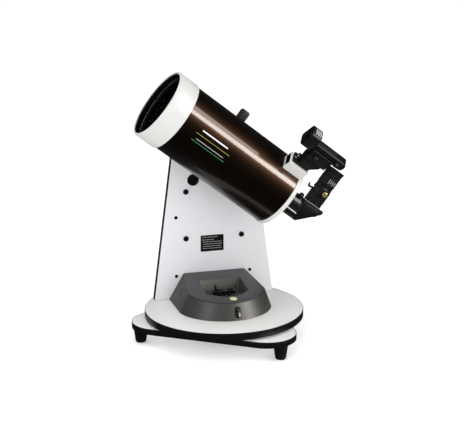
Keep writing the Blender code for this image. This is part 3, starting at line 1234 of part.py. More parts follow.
# ---------------------------------------------------------------- finder
def build_finder(leaning):
    base = BOSS_TOP + FIT
    foot_top = base + BRACKET_FOOT_HEIGHT
    top = base + BRACKET_TOP
    heel = CRADLE_END - BRACKET_HEEL
    riser = BRACKET_START + BRACKET_NOSE
    section = [
        (BRACKET_START, base), (BRACKET_END, base), (BRACKET_END, foot_top), (heel, top - BRACKET_HEEL),
        (heel, top), (CRADLE_START, top), (CRADLE_START, top - BRACKET_LIP),
        (riser, foot_top + BRACKET_LIP), (riser, foot_top), (BRACKET_START, foot_top),
    ]
    prism("finder_bracket", section, -BRACKET_HALF_WIDTH, BRACKET_HALF_WIDTH, plastic_black(), axis="Y",
          parent=leaning)

    plate_low = top + RUNNING
    plate_high = plate_low + CRADLE_THICKNESS
    cheek_in = SIGHT_BODY_HALF_WIDTH + 2 * RUNNING
    cheek_out = cheek_in + CRADLE_CHEEK
    cheek_top = plate_high + CRADLE_CHEEK_HEIGHT
    section = [
        (-cheek_out, plate_low), (cheek_out, plate_low), (cheek_out, cheek_top), (cheek_in, cheek_top),
        (cheek_in, plate_high), (-cheek_in, plate_high), (-cheek_in, cheek_top), (-cheek_out, cheek_top),
    ]
    prism("finder_cradle", section, CRADLE_START, CRADLE_END, plastic_black(), axis="X", parent=leaning)

    body_low = plate_high + SIGHT_BODY_LIFT
    body_high = body_low + SIGHT_BODY_HEIGHT
    bar = rounded(rectangle(SIGHT_BODY_START, SIGHT_BODY_END, body_low, body_high), 0.35 * SIGHT_BODY_HEIGHT,
                  SMALL_ARC_STEPS, skip=(0, 3))
    sight = prism("finder_body", bar, -SIGHT_BODY_HALF_WIDTH, SIGHT_BODY_HALF_WIDTH, plastic_black(),
                  axis="Y", parent=leaning)
    frame_low = body_low - SIGHT_FRAME_DROP
    frame_high = frame_low + SIGHT_FRAME_HEIGHT
    frame_back = SIGHT_FRAME_START + SIGHT_FRAME_DEPTH
    half = SIGHT_FRAME_HALF_WIDTH
    frame = rounded(rectangle(-half, half, frame_low, frame_high), SIGHT_FRAME_ROUNDING, SMALL_ARC_STEPS)
    join(sight, prism("finder_frame", frame, SIGHT_FRAME_START, frame_back, plastic_black(), axis="X",
                      parent=leaning))
    window_low = body_high - SIGHT_WINDOW_DIP
    window_high = frame_high - SIGHT_FRAME_WALL
    window_half = half - SIGHT_FRAME_WALL

    def window(inset):
        half, low, high = window_half - inset, window_low + inset, window_high - inset
        corners = rectangle(-half, half, low, high)
        return rounded(corners, SIGHT_WINDOW_ROUNDING - inset, SMALL_ARC_STEPS)

    cut(sight, prism("finder_opening", window(0), SIGHT_FRAME_START - OVERCUT, frame_back + OVERCUT, None,
                     axis="X", parent=leaning))
    pane_front = SIGHT_FRAME_START + SIGHT_WINDOW_SETBACK
    prism("finder_window", window(FIT), pane_front, pane_front + SIGHT_WINDOW_THICKNESS, glass(), axis="X",
          parent=leaning)

    def side_knob(name, radius, length, wall, location):
        """A knob on the near side of a wall; it turns about an axis along Y."""
        start = -wall - RUNNING
        turned(name, rod(start - length, start, radius), plastic_black(), axis="Y", sides=SMALL_ROUND,
               parent=leaning, location=location)

    side_knob("finder_tilt_knob", TILT_KNOB_RADIUS, SIGHT_KNOB_LENGTH, cheek_out,
              (CRADLE_START + TILT_KNOB_SETBACK, 0, plate_high + TILT_KNOB_HEIGHT))
    swivel_start = heel + RUNNING
    turned("finder_swivel_knob", rod(swivel_start, swivel_start + SIGHT_KNOB_LENGTH, SWIVEL_KNOB_RADIUS),
           plastic_black(), axis="X", sides=SMALL_ROUND, parent=leaning,
           location=(0, 0, top - SWIVEL_KNOB_RADIUS - FIT))
    side_knob("finder_dial", SIGHT_DIAL_RADIUS, SIGHT_DIAL_LENGTH, SIGHT_BODY_HALF_WIDTH,
              (SIGHT_BODY_END - SIGHT_DIAL_SETBACK, 0, (body_low + body_high) / 2))


# ---------------------------------------------------------------- whole model
def clear_scene():
    for old in list(bpy.data.objects):
        bpy.data.objects.remove(old, do_unlink=True)


def main():
    clear_scene()
    root = empty("base", (0, 0, 0))
    turntable = empty("azimuth_axis", (0, 0, 0), parent=root)
    build_base(root)
    build_azimuth_pivot(root)
    build_turntable(turntable)
    build_housing(turntable)
    build_azimuth_drive(turntable)
    build_side_panel(turntable)
    build_altitude_drive(turntable)

    altitude = empty("altitude_axis", (0, 0, ALTITUDE_Z), (0, ALTITUDE_ANGLE, 0), turntable)
    build_altitude(altitude)
    build_saddle(altitude)
    build_dovetail_bar(altitude)
    optics = empty("optical_axis", (-ALTITUDE_STATION, TUBE_Y, 0), parent=altitude)
    build_tube(optics)
    build_optics(optics)
    holder_axis = build_diagonal(optics)
    build_eyepiece(holder_axis)
    build_finder(bpy.data.objects["finder_direction"])


main()
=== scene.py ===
"""Looks of the catadioptric telescope and its motorised tabletop mount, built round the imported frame.

Metres, +Z up.  Pieces of the tube are drawn in the frame of the optical axis: X runs back along the
tube from the front rim, Y towards the side panel and Z up out of the tube.
"""
from math import acos, atan, atan2, cos, pi, radians, sin, sqrt, tan

import bmesh
import bpy
from mathutils import Matrix, Vector


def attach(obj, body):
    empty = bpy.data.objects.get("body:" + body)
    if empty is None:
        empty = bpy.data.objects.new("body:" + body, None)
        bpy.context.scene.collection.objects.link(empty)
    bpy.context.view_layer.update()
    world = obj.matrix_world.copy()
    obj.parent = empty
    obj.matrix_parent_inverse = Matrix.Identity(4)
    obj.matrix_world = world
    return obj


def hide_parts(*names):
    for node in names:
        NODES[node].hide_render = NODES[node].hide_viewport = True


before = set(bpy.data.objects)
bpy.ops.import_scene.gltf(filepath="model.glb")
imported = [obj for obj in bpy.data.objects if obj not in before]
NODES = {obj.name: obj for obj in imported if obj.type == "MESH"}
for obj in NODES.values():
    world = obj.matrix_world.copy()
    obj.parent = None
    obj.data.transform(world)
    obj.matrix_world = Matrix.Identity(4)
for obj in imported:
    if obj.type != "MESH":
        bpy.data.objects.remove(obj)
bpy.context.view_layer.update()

# ---------------------------------------------------------------- sizes repeated from the CAD
FIT = .0003
RUNNING = .0005
BOARD_BOTTOM = .0063
BOARD_TOP = .0183
TURNTABLE_BOTTOM = .0233
TURNTABLE_TOP = .0383
TURNTABLE_RADIUS = .16
EDGE_BAND = .001
PANEL_FRONT = .0764
PANEL_BACK = .0934
ALTITUDE_Z = .3588
ALTITUDE_ANGLE = radians(38)
ALTITUDE_STATION = .1713
TUBE_Y = -.024
TUBE_RADIUS = .07
RING_RADIUS = .0725
TUBE_END = .311
REAR_CELL_BACK = .314
VISUAL_BACK_END = .3503
COLLAR_BACK = .3536
EYEPIECE_STATION = .3793
HOLDER_RADIUS = .0189
HOLDER_BOTTOM = .0198
HOLDER_TOP = .0558
BORE_RADIUS = .016275
BARREL_RADIUS = .015875
BOSS_TOP = .0908
BARREL_BORE = .014375
EYEPIECE_RADIUS = .0183
LENS_SEAT = .0663
FLOOR_LEVEL = -.024
FEET_FROM = radians(54.8)
THIRD = 2 * pi / 3
UPRIGHT = pi / 2

# strength of the even light on matt surfaces, and of its reflection in glossy ones
SKY_LIGHT = .92
SKY_GLOSS = .035
# the floor's white, the glow that lifts it, and what glossy surfaces see of it
FLOOR_WHITE = .9
FLOOR_GLOW = .2
FLOOR_IN_GLOSS = .05
# colour of the lamps that show along the tube
WARM = (1.0, .98, .93)

# ---------------------------------------------------------------- frames
WORLD = Matrix.Identity(4)
ALTITUDE = Matrix.Translation((0, 0, ALTITUDE_Z)) @ Matrix.Rotation(ALTITUDE_ANGLE, 4, "Y")
OPTICS = ALTITUDE @ Matrix.Translation((-ALTITUDE_STATION, TUBE_Y, 0))
FINDER = OPTICS @ Matrix.Translation((TUBE_END, 0, 0)) @ Matrix.Rotation(radians(40), 4, "X")
FOCUS_BEARING = radians(116)
FOCUS = OPTICS @ Matrix.Translation((0, -.04 * sin(FOCUS_BEARING), .04 * cos(FOCUS_BEARING)))
EYEPIECE = OPTICS @ Matrix.Translation((EYEPIECE_STATION, 0, 0))
PANEL = Matrix.Translation((0, 0, TURNTABLE_TOP))
COVER = Matrix.Translation((0, 0, ALTITUDE_Z))


def moved(where, place=(0, 0, 0), turn=(0, 0, 0)):
    """A frame shifted and turned inside another one."""
    turned_frame = Matrix.LocRotScale(Vector(place), None, None)
    for axis, angle in zip("XYZ", turn):
        if angle:
            turned_frame = turned_frame @ Matrix.Rotation(angle, 4, axis)
    return where @ turned_frame


# ---------------------------------------------------------------- materials
def link(tree, source, output, target, entry):
    tree.links.new(source.outputs[output], target.inputs[entry])


def noise(tree, scale, detail=2.0, stretch=None):
    """Noise in the piece's own metres; stretch scales it along each axis."""
    place = tree.nodes.new("ShaderNodeTexCoord")
    made = tree.nodes.new("ShaderNodeTexNoise")
    made.inputs["Scale"].default_value = scale
    made.inputs["Detail"].default_value = detail
    if stretch:
        mapping = tree.nodes.new("ShaderNodeMapping")
        mapping.inputs["Scale"].default_value = stretch
        link(tree, place, "Object", mapping, "Vector")
        link(tree, mapping, "Vector", made, "Vector")
    else:
        link(tree, place, "Object", made, "Vector")
    return made


def ramp(tree, source, low, high, first=.35, last=.65):
    """Noise turned into a colour or a grey between two values."""
    made = tree.nodes.new("ShaderNodeValToRGB")
    for element, place, value in zip(made.color_ramp.elements, (first, last), (low, high)):
        element.position = place
        element.color = (*value, 1) if isinstance(value, tuple) else (value, value, value, 1)
    link(tree, source, "Fac", made, "Fac")
    return made


def material(name, colour, roughness, metallic=0, grain=0, bump=0, mottle=0, patch=40, rough_spread=0, coat=0,
        coat_rough=.06, stretch=None, transmission=0, ior=1.5, specular=.5):
    """A principled material with fine grain in its bump, and broad patches in its colour and gloss."""
    found = bpy.data.materials.get(name)
    if found:
        return found
    made = bpy.data.materials.new(name)
    made.use_nodes = True
    tree = made.node_tree
    surface = tree.nodes["Principled BSDF"]
    inputs = surface.inputs
    inputs["Base Color"].default_value = (*colour, 1)
    inputs["Roughness"].default_value = roughness
    inputs["Metallic"].default_value = metallic
    inputs["Coat Weight"].default_value = coat
    inputs["Coat Roughness"].default_value = coat_rough
    inputs["Transmission Weight"].default_value = transmission
    inputs["IOR"].default_value = ior
    inputs["Specular IOR Level"].default_value = specular
    if mottle:
        low = tuple(c * (1 - mottle) for c in colour)
        high = tuple(min(1.0, c * (1 + mottle)) for c in colour)
        link(tree, ramp(tree, noise(tree, patch, 4.0, stretch), low, high), "Color", surface, "Base Color")
    if rough_spread:
        gloss = ramp(tree, noise(tree, patch * 2.3, 3.0), roughness - rough_spread, roughness + rough_spread)
        link(tree, gloss, "Color", surface, "Roughness")
    if grain:
        relief = tree.nodes.new("ShaderNodeBump")
        relief.inputs["Strength"].default_value = bump
        relief.inputs["Distance"].default_value = .0004
        link(tree, noise(tree, grain, 3.0, stretch), "Fac", relief, "Height")
        link(tree, relief, "Normal", surface, "Normal")
    return made


# name, colour, roughness, metal; scale of the grain, strength of its bump;
# mottling of the colour, scale of its patches, spread of the roughness
LAMINATE = material("laminate_white", (.8, .805, .83), .42, 0, 1800, .06, .01, 60, .05)
TABLE_LAMINATE = material("laminate_turntable", (.75, .75, .735), .45, 0, 1500, .1, .025, 420, .06)
EDGE = material("edge_trim_black", (.0035, .0035, .0037), .34, 0, 1400, .06, .15, 40, .07, specular=.25)
HOUSING = material("housing_moulding", (.048, .046, .043), .44, .15, 4200, .12, .08, 900, .05, specular=.35)
# a cooler copy of the housing moulding for faces that look up: painted light on the top
HOUSING_TOP_PAINTED_LIGHT = material("housing_moulding_top_painted_light", (.048, .046, .051), .5, 0, 4200, .18, .06, 900, .05)
PLASTIC = material("black_moulding", (.0045, .0045, .005), .44, 0, 3000, .08, .12, 300, .07, specular=.3)
SATIN_BLACK = material("satin_black_moulding", (.0035, .0035, .004), .22, 0, 2400, .04, .1, 200, .05)
RUBBER = material("black_rubber", (.003, .003, .0031), .55, 0, 2600, .2, .15, 250, .08, specular=.25)
KNOB_RUBBER = material("grey_black_rubber", (.016, .0155, .0155), .5, 0, 2600, .2, .15, 250, .08)
ANODISED = material("black_anodised", (.014, .013, .016), .36, .5, 2600, .02, .08, 120, .04)
ENAMEL = material("white_enamel", (.66, .655, .635), .38, 0, 900, .03, .012, 50, .04)
TUBE_ENAMEL = material("dark_metallic_enamel", (.017, .0085, .0045), .38, 1.0, 7000, .05, .45, 3000, .04,
        coat=.5, coat_rough=.1)
# matt black of the tube's insides and baffles; in the boss's pocket it is painted shade
MATT_BLACK_AND_PAINTED_SHADE = material("matt_black_inside_and_painted_shade", (.0025, .0022, .0022), .85, 0, 2500, .2, .2, specular=.15)
STEEL = material("turned_steel", (.6, .6, .61), .28, 1.0, 2500, .06, .06, 300, .06, stretch=(1, 8, 8))
CHROME = material("chrome", (.8, .8, .81), .12, 1.0, 1200, .02, .03, 40, .03)
BRASS = material("brass", (.62, .42, .17), .28, 1.0, 2500, .05, .1, 260, .07)
ALUMINIUM = material("satin_aluminium", (.66, .67, .68), .34, 1.0, 2200, .06, .05, 220, .05, stretch=(8, 1, 1))
LENS = material("coated_lens", (.93, .97, .95), .01, 0, 300, .001, transmission=1.0, ior=1.12)
PANE = material("finder_pane", (.8, .9, .86), .02, 0, 300, .002, transmission=1.0, ior=1.35)
MIRROR = material("aluminised_mirror", (.9, .91, .92), .02, 1.0, 300, .002, 0, 40, .01)
CIRCUIT = material("green_circuit", (.03, .17, .07), .5, 0, 1500, .3, .3, 800)
STRIPE_YELLOW = material("yellow_green_line", (.36, .4, .05), .35, 0, 0, 0, .08, 200, coat=.5)
STRIPE_GREEN = material("green_line", (.03, .34, .09), .35, 0, 0, 0, .08, 200, coat=.5)
STRIPE_WHITE = material("white_line", (.78, .78, .78), .35, 0, 0, 0, .03, 200, coat=.3)
WINDOW = material("pale_window", (.46, .46, .45), .25, 0, 0, 0, .15, 900)
STRIPE_GREY = material("grey_line", (.42, .39, .42), .35, 0, 0, 0, .05, 200, coat=.3)
PLATE_PRINT = material("plate_print", (.3, .29, .28), .5, 0, 0, 0, .25, 2500)
VIAL_LIQUID = material("level_liquid", (.42, .47, .1), .12, 0, 0, 0, .05, 300, coat=.6)
VIAL_BUBBLE = material("level_bubble", (.8, .84, .62), .1, 0, 0, 0, .03, 300, coat=.6)
# pale metal finish for a thin ring that stands for the black retainer's highlight: painted highlight
RETAINER_PAINTED_HIGHLIGHT = material("painted_rim_highlight", (.34, .31, .29), .25, .9, 0, 0, .1, 300)


# ---------------------------------------------------------------- outlines
def circle(radius, count=96, centre=(0.0, 0.0)):
    turn = 2 * pi / count
    return [(centre[0] + radius * cos(k * turn), centre[1] + radius * sin(k * turn)) for k in range(count)]


def arc(centre, radius, first, last, steps):
    return [(centre[0] + radius * cos(first + (last - first) * k / steps),
            centre[1] + radius * sin(first + (last - first) * k / steps)) for k in range(steps + 1)]


def rectangle(low_a, high_a, low_b, high_b):
    return [(low_a, low_b), (high_a, low_b), (high_a, high_b), (low_a, high_b)]


def eased(points, radius, steps=3, closed=True, skip=()):
    """An outline with its corners eased by short curves, no longer than the edges allow."""
    result = []
    count = len(points)
    for k, corner in enumerate(points):
        if k in skip or (not closed and k in (0, count - 1)):
            result.append(tuple(corner))
            continue
        here, before, after = Vector(corner), Vector(points[k - 1]), Vector(points[(k + 1) % count])
        reach = min(radius, .46 * (before - here).length, .46 * (after - here).length)
        start = here + (before - here).normalized() * reach
        end = here + (after - here).normalized() * reach
        for j in range(steps + 1):
            t = j / steps
            result.append(tuple(start * (1 - t) ** 2 + here * 2 * t * (1 - t) + end * t ** 2))
    return result


def stadium(length, width, steps=12):
    """A slot shape, long along its second coordinate."""
    radius = width / 2
    straight = length / 2 - radius
    return arc((0, straight), radius, 0, pi, steps) + arc((0, -straight), radius, pi, 2 * pi, steps)


# ---------------------------------------------------------------- solids
def spread(point, level, axis):
    first, second = point
    return {"X": (level, first, second), "Y": (first, level, second), "Z": (first, second, level)}[axis]


def add(name, points, faces, finish, where=WORLD, sharp=42):
    """A mesh from points and faces, in a frame, with its faces turned outwards."""
    mesh = bpy.data.meshes.new(name)
    mesh.from_pydata(points, [], faces)
    shape = bmesh.new()
    shape.from_mesh(mesh)
    bmesh.ops.recalc_face_normals(shape, faces=shape.faces)
    if shape.calc_volume(signed=True) < 0:
        bmesh.ops.reverse_faces(shape, faces=shape.faces)
    shape.to_mesh(mesh)
    shape.free()
    mesh.materials.append(finish)
    made = bpy.data.objects.new(name, mesh)
    bpy.context.scene.collection.objects.link(made)
    made.matrix_world = where
    smooth(made, sharp)
    return made


def smooth(piece, sharp=42):
    piece.data.shade_smooth()
    piece.data.set_sharp_from_angle(angle=radians(sharp))


def loft(name, rings, finish, where=WORLD, sharp=42):
    """A solid through rings of 3-D points, closed by a flat face at each end."""
    count = len(rings[0])
    points = [point for ring in rings for point in ring]
    faces = [tuple(range(count)), tuple((len(rings) - 1) * count + k for k in reversed(range(count)))]
    for level in range(len(rings) - 1):
        low = level * count
        for k in range(count):
            after = (k + 1) % count
            faces.append((low + k, low + after, low + count + after, low + count + k))
    return add(name, points, faces, finish, where, sharp)


def inset_outline(outline, distance):
    """An outline drawn in by a distance along its corners' normals."""
    result = []
    count = len(outline)
    for k, corner in enumerate(outline):
        before, after = Vector(outline[k - 1]), Vector(outline[(k + 1) % count])
        here = Vector(corner)
        a = (here - before).normalized() if (here - before).length > 1e-9 else (after - here).normalized()
        b = (after - here).normalized() if (after - here).length > 1e-9 else a
        side = Vector((-(a.y + b.y), a.x + b.x)).normalized()
        share = max(.4, side.dot(Vector((-a.y, a.x))))
        result.append(tuple(here + side * distance / share))
    return result


def area(outline):
    return sum(a[0] * b[1] - b[0] * a[1] for a, b in zip(outline, outline[1:] + outline[:1])) / 2


def prism(name, outline, low, high, finish, where=WORLD, axis="Z", ease=0.0, steps=2, sharp=42):
    """A prism whose two end rims are eased."""
    if area(outline) < 0:
        outline = outline[::-1]
    levels = []
    if ease:
        for k in range(steps + 1):
            turn = pi / 2 * k / steps
            levels.append((low + ease * (1 - sin(turn)), ease * (1 - cos(turn))))
        levels = levels[::-1] + [(high - (level - low), inset) for level, inset in levels]
    else:
        levels = [(low, 0.0), (high, 0.0)]
    rings = [[spread(point, level, axis) for point in (inset_outline(outline, inset) if inset else outline)]
            for level, inset in levels]
    return loft(name, rings, finish, where, sharp)


def band(name, outer, inner, low, high, finish, where=WORLD, axis="Z", ease=0.0):
    """A prism between two outlines with the same number of points, with its outer rims eased."""
    count = len(outer)
    rings = [(inner, low), (outer, low), (outer, high), (inner, high)]
    if ease:
        pulled = inset_outline(outer, ease)
        near = inset_outline(outer, ease * .3)
        rings = [(inner, low), (pulled, low), (near, low + ease * .3), (outer, low + ease),
                (outer, high - ease), (near, high - ease * .3), (pulled, high), (inner, high)]
    points = [spread(point, level, axis) for outline, level in rings for point in outline]
    faces = []
    for side in range(len(rings)):
        here, there = side * count, (side + 1) % len(rings) * count
        for k in range(count):
            after = (k + 1) % count
            faces.append((here + k, here + after, there + after, there + k))
    return add(name, points, faces, finish, where)


def turned(name, profile, finish, where=WORLD, axis="X", sides=112, ease=0.0, fluted=None, depth=0.0):
    """A turned solid from (place along the axis, radius) pairs, solid where it starts and ends at 0.
    Between the two places in fluted, every second point of a ring is drawn in by depth."""
    closed = profile[0][1] != 0
    if ease:
        profile = eased(profile, ease, 2, closed)
    rings, points = [], []
    for along, radius in profile:
        if radius == 0:
            rings.append([len(points)])
            points.append(spread((0.0, 0.0), along, axis))
            continue
        rings.append(range(len(points), len(points) + sides))
        cut_in = depth if fluted and fluted[0] <= along <= fluted[1] and radius > fluted[2] else 0.0
        for k, (a, b) in enumerate(circle(1.0, sides)):
            reach = radius - (cut_in if k % 4 in (2, 3) else 0.0)
            points.append(spread((a * reach, b * reach), along, axis))
    faces = []
    for k in range(len(rings) if closed else len(rings) - 1):
        here, there = rings[k], rings[(k + 1) % len(rings)]
        for j in range(sides):
            after = (j + 1) % sides
            if len(here) == 1:
                faces.append((here[0], there[after], there[j]))
            elif len(there) == 1:
                faces.append((here[j], here[after], there[0]))
            else:
                faces.append((here[j], here[after], there[after], there[j]))
    return add(name, points, faces, finish, where)


def rod(low, high, radius):
    return [(low, 0), (low, radius), (high, radius), (high, 0)]


def pipe(low, high, inner, outer):
    return [(low, inner), (low, outer), (high, outer), (high, inner)]


def settle(piece):
    """Applies a piece's modifiers to its mesh."""
    bpy.context.view_layer.update()
    seen = piece.evaluated_get(bpy.context.evaluated_depsgraph_get())
    mesh = bpy.data.meshes.new_from_object(seen)
    piece.modifiers.clear()
    piece.data = mesh
    return piece


def combine(piece, others, operation="DIFFERENCE", sharp=42):
    """Cuts other solids out of a piece, or welds them on, and deletes them."""
    for other in others:
        step = piece.modifiers.new(other.name, "BOOLEAN")
        step.operation = operation
        step.solver = "EXACT"
        step.object = other
    settle(piece)
    for other in others:
        bpy.data.objects.remove(other, do_unlink=True)
    smooth(piece, sharp)
    return piece


def put(piece, body, *nodes, slot="plastic_black"):
    """Hangs a finished piece on its body, and hides the nodes it stands for."""
    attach(piece, body)
    if nodes:
        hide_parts(*nodes)
    return piece


def screw(name, body, slot, where, radius, height, finish, socket=True):
    """A socket-head screw that stands out along its frame's Z."""
    head = turned(name, rod(0, height, radius), finish, where, "Z", 32, ease=radius * .2)
    if socket:
        hexagon = prism(name + "_socket", circle(radius * .5, 6), height * .35, height * 2, finish, where)
        combine(head, [hexagon])
    return put(head, body, slot=slot)


# ---------------------------------------------------------------- stand
def base_outline(inset):
    points = []
    for corner in range(3):
        angle = FEET_FROM + corner * THIRD
        centre = (.1285 * cos(angle), .1285 * sin(angle))
        points += arc(centre, .0585 - inset, angle - pi / 3, angle + pi / 3, 30)
    return points


def build_stand():
    board = prism("base_board_looks", base_outline(EDGE_BAND + .0001), BOARD_BOTTOM, BOARD_TOP, LAMINATE,
            ease=.0003)
    put(board, "stand", "base_board", slot="board_white")
    trim = band("base_edge_trim", base_outline(0), base_outline(EDGE_BAND), BOARD_BOTTOM - .0001,
            BOARD_TOP + .0002, EDGE, ease=.0006)
    put(trim, "stand", "base_edge_band", slot="edge_black")

    top, sole = .006, FLOOR_LEVEL
    profile = [(sole, 0), (sole, .0085), (sole + .0006, .0094), (sole + .0022, .0104), (sole + .0065, .0113),
            (sole + .0072, .0109), (sole + .008, .0115), (top - .004, .014), (top - .003, .0145), (top, .0145),
            (top, 0)]
    for corner in range(3):
        angle = FEET_FROM + corner * THIRD
        where = Matrix.Translation((.1695 * cos(angle), .1695 * sin(angle), 0))
        foot = turned(f"foot_{corner + 1}_looks", profile, RUBBER, where, "Z", 72, ease=.0006,
                fluted=(sole + .0079, top - .0038, .011), depth=.0005)
        put(foot, "stand", f"foot_{corner + 1}", slot="rubber_black")

    plate = turned("pivot_plate_looks", rod(0, .006, .045), STEEL, WORLD, "Z", 96, ease=.0008)
    put(plate, "stand", "pivot_plate", slot="steel")


# ---------------------------------------------------------------- turntable
def build_turntable():
    inner = TURNTABLE_RADIUS - EDGE_BAND
    board = turned("turntable_looks", pipe(TURNTABLE_BOTTOM, TURNTABLE_TOP, .0066, inner - .0001),
            TABLE_LAMINATE, WORLD, "Z", 192, ease=.0003)
    put(board, "turntable", "turntable_board", slot="board_white")
    profile = [(TURNTABLE_BOTTOM, inner), (TURNTABLE_BOTTOM, TURNTABLE_RADIUS - .0006),
            (TURNTABLE_BOTTOM + .0008, TURNTABLE_RADIUS - .0001), (TURNTABLE_TOP - .0008,
            TURNTABLE_RADIUS - .0001), (TURNTABLE_TOP, TURNTABLE_RADIUS - .0006), (TURNTABLE_TOP, inner)]
    put(turned("turntable_edge_trim", profile, EDGE, WORLD, "Z", 192, ease=.0004), "turntable",
            "turntable_edge_band", slot="edge_black")


# ---------------------------------------------------------------- drive housing
HOUSING_SLOPE = (.054 - .0338) / (PANEL_FRONT + .0766)


def housing_top(y):
    """Height of the housing's sloping top above the turntable."""
    return .0338 + (y + .0766) * HOUSING_SLOPE


def housing_outline(share, inset=0.0):
    """One outline of the housing between its foot (share 0) and its sloping top (share 1)."""
    half = .096 + (.0645 - .096) * share - inset
    radius = .0974 + (.0837 - .0974) * share - inset
    centre = .0069 + .0002 * share
    start = radians(14 + 7 * share)
    back = PANEL_FRONT - FIT - inset
    outline = [(half, back), (-half, back)]
    outline += arc((0, centre), radius, pi + start, 2 * pi - start, 64)
    points = eased(outline, .004, 3, True, skip=(0, 1) + tuple(range(3, 66)))
    return [(x, y, TURNTABLE_TOP + FIT + share * (housing_top(y) - FIT)) for x, y in points]


def recess_outline(height, grow=0.0):
    more = grow + (height - .043) * .26
    half, radius = .043 + more, .054 + more
    start = acos(half / radius)
    outline = [(half, .0345 + more), (-half, .0345 + more)]
    outline += arc((0, .006), radius, pi + start, 2 * pi - start, 48)
    points = eased(outline, .005, 4, True, skip=tuple(range(3, 50)))
    return [(x, y, TURNTABLE_TOP + height) for x, y in points]


def rim_outline(grow, rise):
    """The recess's outline where its wall meets the sloping top, raised and drawn outwards."""
    return [(x, y, TURNTABLE_TOP + housing_top(y) + rise) for x, y, _ in recess_outline(.043, grow)]


def build_housing():
    # The wall, with a fine groove under the top's edge, then the top with an eased rim.
    levels = [(0.0, 0.0), (.935, 0.0), (.945, .0008), (.955, .0008), (.965, 0.0)]
    rings = [housing_outline(share, inset) for share, inset in levels]
    top = housing_outline(1.0)
    eased_rim = [housing_outline(1.0, .0007), housing_outline(1.0, .0016)]
    rings.append([(x, y, z - .0009) for x, y, z in top])
    rings.append([(x, y, z - .0002) for x, y, z in eased_rim[0]])
    rings.append(eased_rim[1])
    housing = loft("base_housing_looks", rings, HOUSING, sharp=30)
    # the recess, with a small chamfer round its rim
    walls = [recess_outline(.022), rim_outline(0.0, -.0009), rim_outline(.0011, .0002),
            rim_outline(.0013, .012)]
    cutters = [loft("housing_recess_space", walls, HOUSING_TOP_PAINTED_LIGHT)]
    lean = atan2(.0974 - .0837, .0338)
    hole = Matrix.Translation((.005575, -.084161, .0533)) @ Matrix.Rotation(radians(3.5), 4, "Z") \
        @ Matrix.Rotation(-lean, 4, "X")
    cutters.append(prism("switch_space", stadium(.0214, .0098), -.006, .01, PLASTIC, hole, "Y"))
    slot = slot_frame()
    cutters.append(prism("slot_space", stadium(.0195, .004), -.003, .006, PLASTIC, slot, "X"))
    cutters.append(turned("stud_space", rod(TURNTABLE_TOP - .01, TURNTABLE_TOP + .024, .007), HOUSING_TOP_PAINTED_LIGHT,
            WORLD, "Z", 40))
    combine(housing, cutters, sharp=30)
    # faces that look up take a cooler copy of the moulding with its own grain: its tint is painted light on the
    # top
    names = [m.name for m in housing.data.materials]
    if HOUSING_TOP_PAINTED_LIGHT.name not in names:
        housing.data.materials.append(HOUSING_TOP_PAINTED_LIGHT)
        names.append(HOUSING_TOP_PAINTED_LIGHT.name)
    for face in housing.data.polygons:
        if face.normal.z > .93 and face.center.z > TURNTABLE_TOP + .02:
            face.material_index = names.index(HOUSING_TOP_PAINTED_LIGHT.name)
    put(housing, "turntable", "base_housing", slot="housing_grey")

    bezel = band("switch_bezel", stadium(.0232, .012), stadium(.0206, .0092), -.0012, .001, SATIN_BLACK, hole,
            "Y", ease=0.0)
    put(bezel, "turntable")
    deep = .0033
    profile = [(-.0094, -deep * .1), (-.0088, -deep), (-.0015, -deep * .72), (.0015, -deep * .72),
            (.0088, -deep), (.0094, -deep * .1), (.009, deep), (-.009, deep)]
    rocker = prism("power_switch_looks", [(y, z) for z, y in profile], -.004, .004, SATIN_BLACK, hole, "X",
            ease=.0009, steps=3)
    put(rocker, "switch", "power_switch")
    # a small grey dash on the rocker: partly its printed mark, partly a painted glint
    mark_and_glint = prism("power_switch_mark_and_glint", rectangle(-.0003, .0003, .004, .0062), -deep * .93, -deep * .8,
            STRIPE_GREY, hole, "Y")
    put(mark_and_glint, "switch")

    liner = prism("card_slot_liner", stadium(.0192, .0037), -.0026, -.0008, RUBBER, slot, "X")
    put(liner, "turntable")

    # round level on the front lip
    y = -.0612
    tilt = atan(HOUSING_SLOPE)
    level = Matrix.Translation((.0028, y, TURNTABLE_TOP + housing_top(y))) @ Matrix.Rotation(tilt, 4, "X")
    ring = turned("level_ring", [(-.001, .0058), (-.001, .0074), (.0008, .0074), (.0012, .0068),
            (.0009, .0058)], VIAL_LIQUID, level, "Z", 64, ease=.0002)
    put(ring, "turntable", slot="coated_glass")
    dome = turned("level_vial", [(-.001, 0), (-.001, .0058), (.0006, .0058), (.0011, .004), (.0014, .002),
            (.0015, 0)], VIAL_BUBBLE, level, "Z", 64)
    put(dome, "turntable", slot="coated_glass")
    mark = turned("level_circle", pipe(.0009, .0016, .0022, .0026), EDGE, level, "Z", 48)
    put(mark, "turntable")


def slot_frame():
    """The frame of the slot in the housing's left side: X out of the wall, Z up along it."""
    low = Vector((-.0842, .0254, TURNTABLE_TOP + .0176))
    high = Vector((-.0733, .03, TURNTABLE_TOP + .0345))
    up = (high - low).normalized()
    out = Vector((-1, 0, 0)).cross(up).cross(up).normalized()
    if out.x > 0:
        out = -out
    side = up.cross(out)
    turn = Matrix((out, side, up)).transposed().to_4x4()
    return Matrix.Translation((low + high) / 2) @ turn


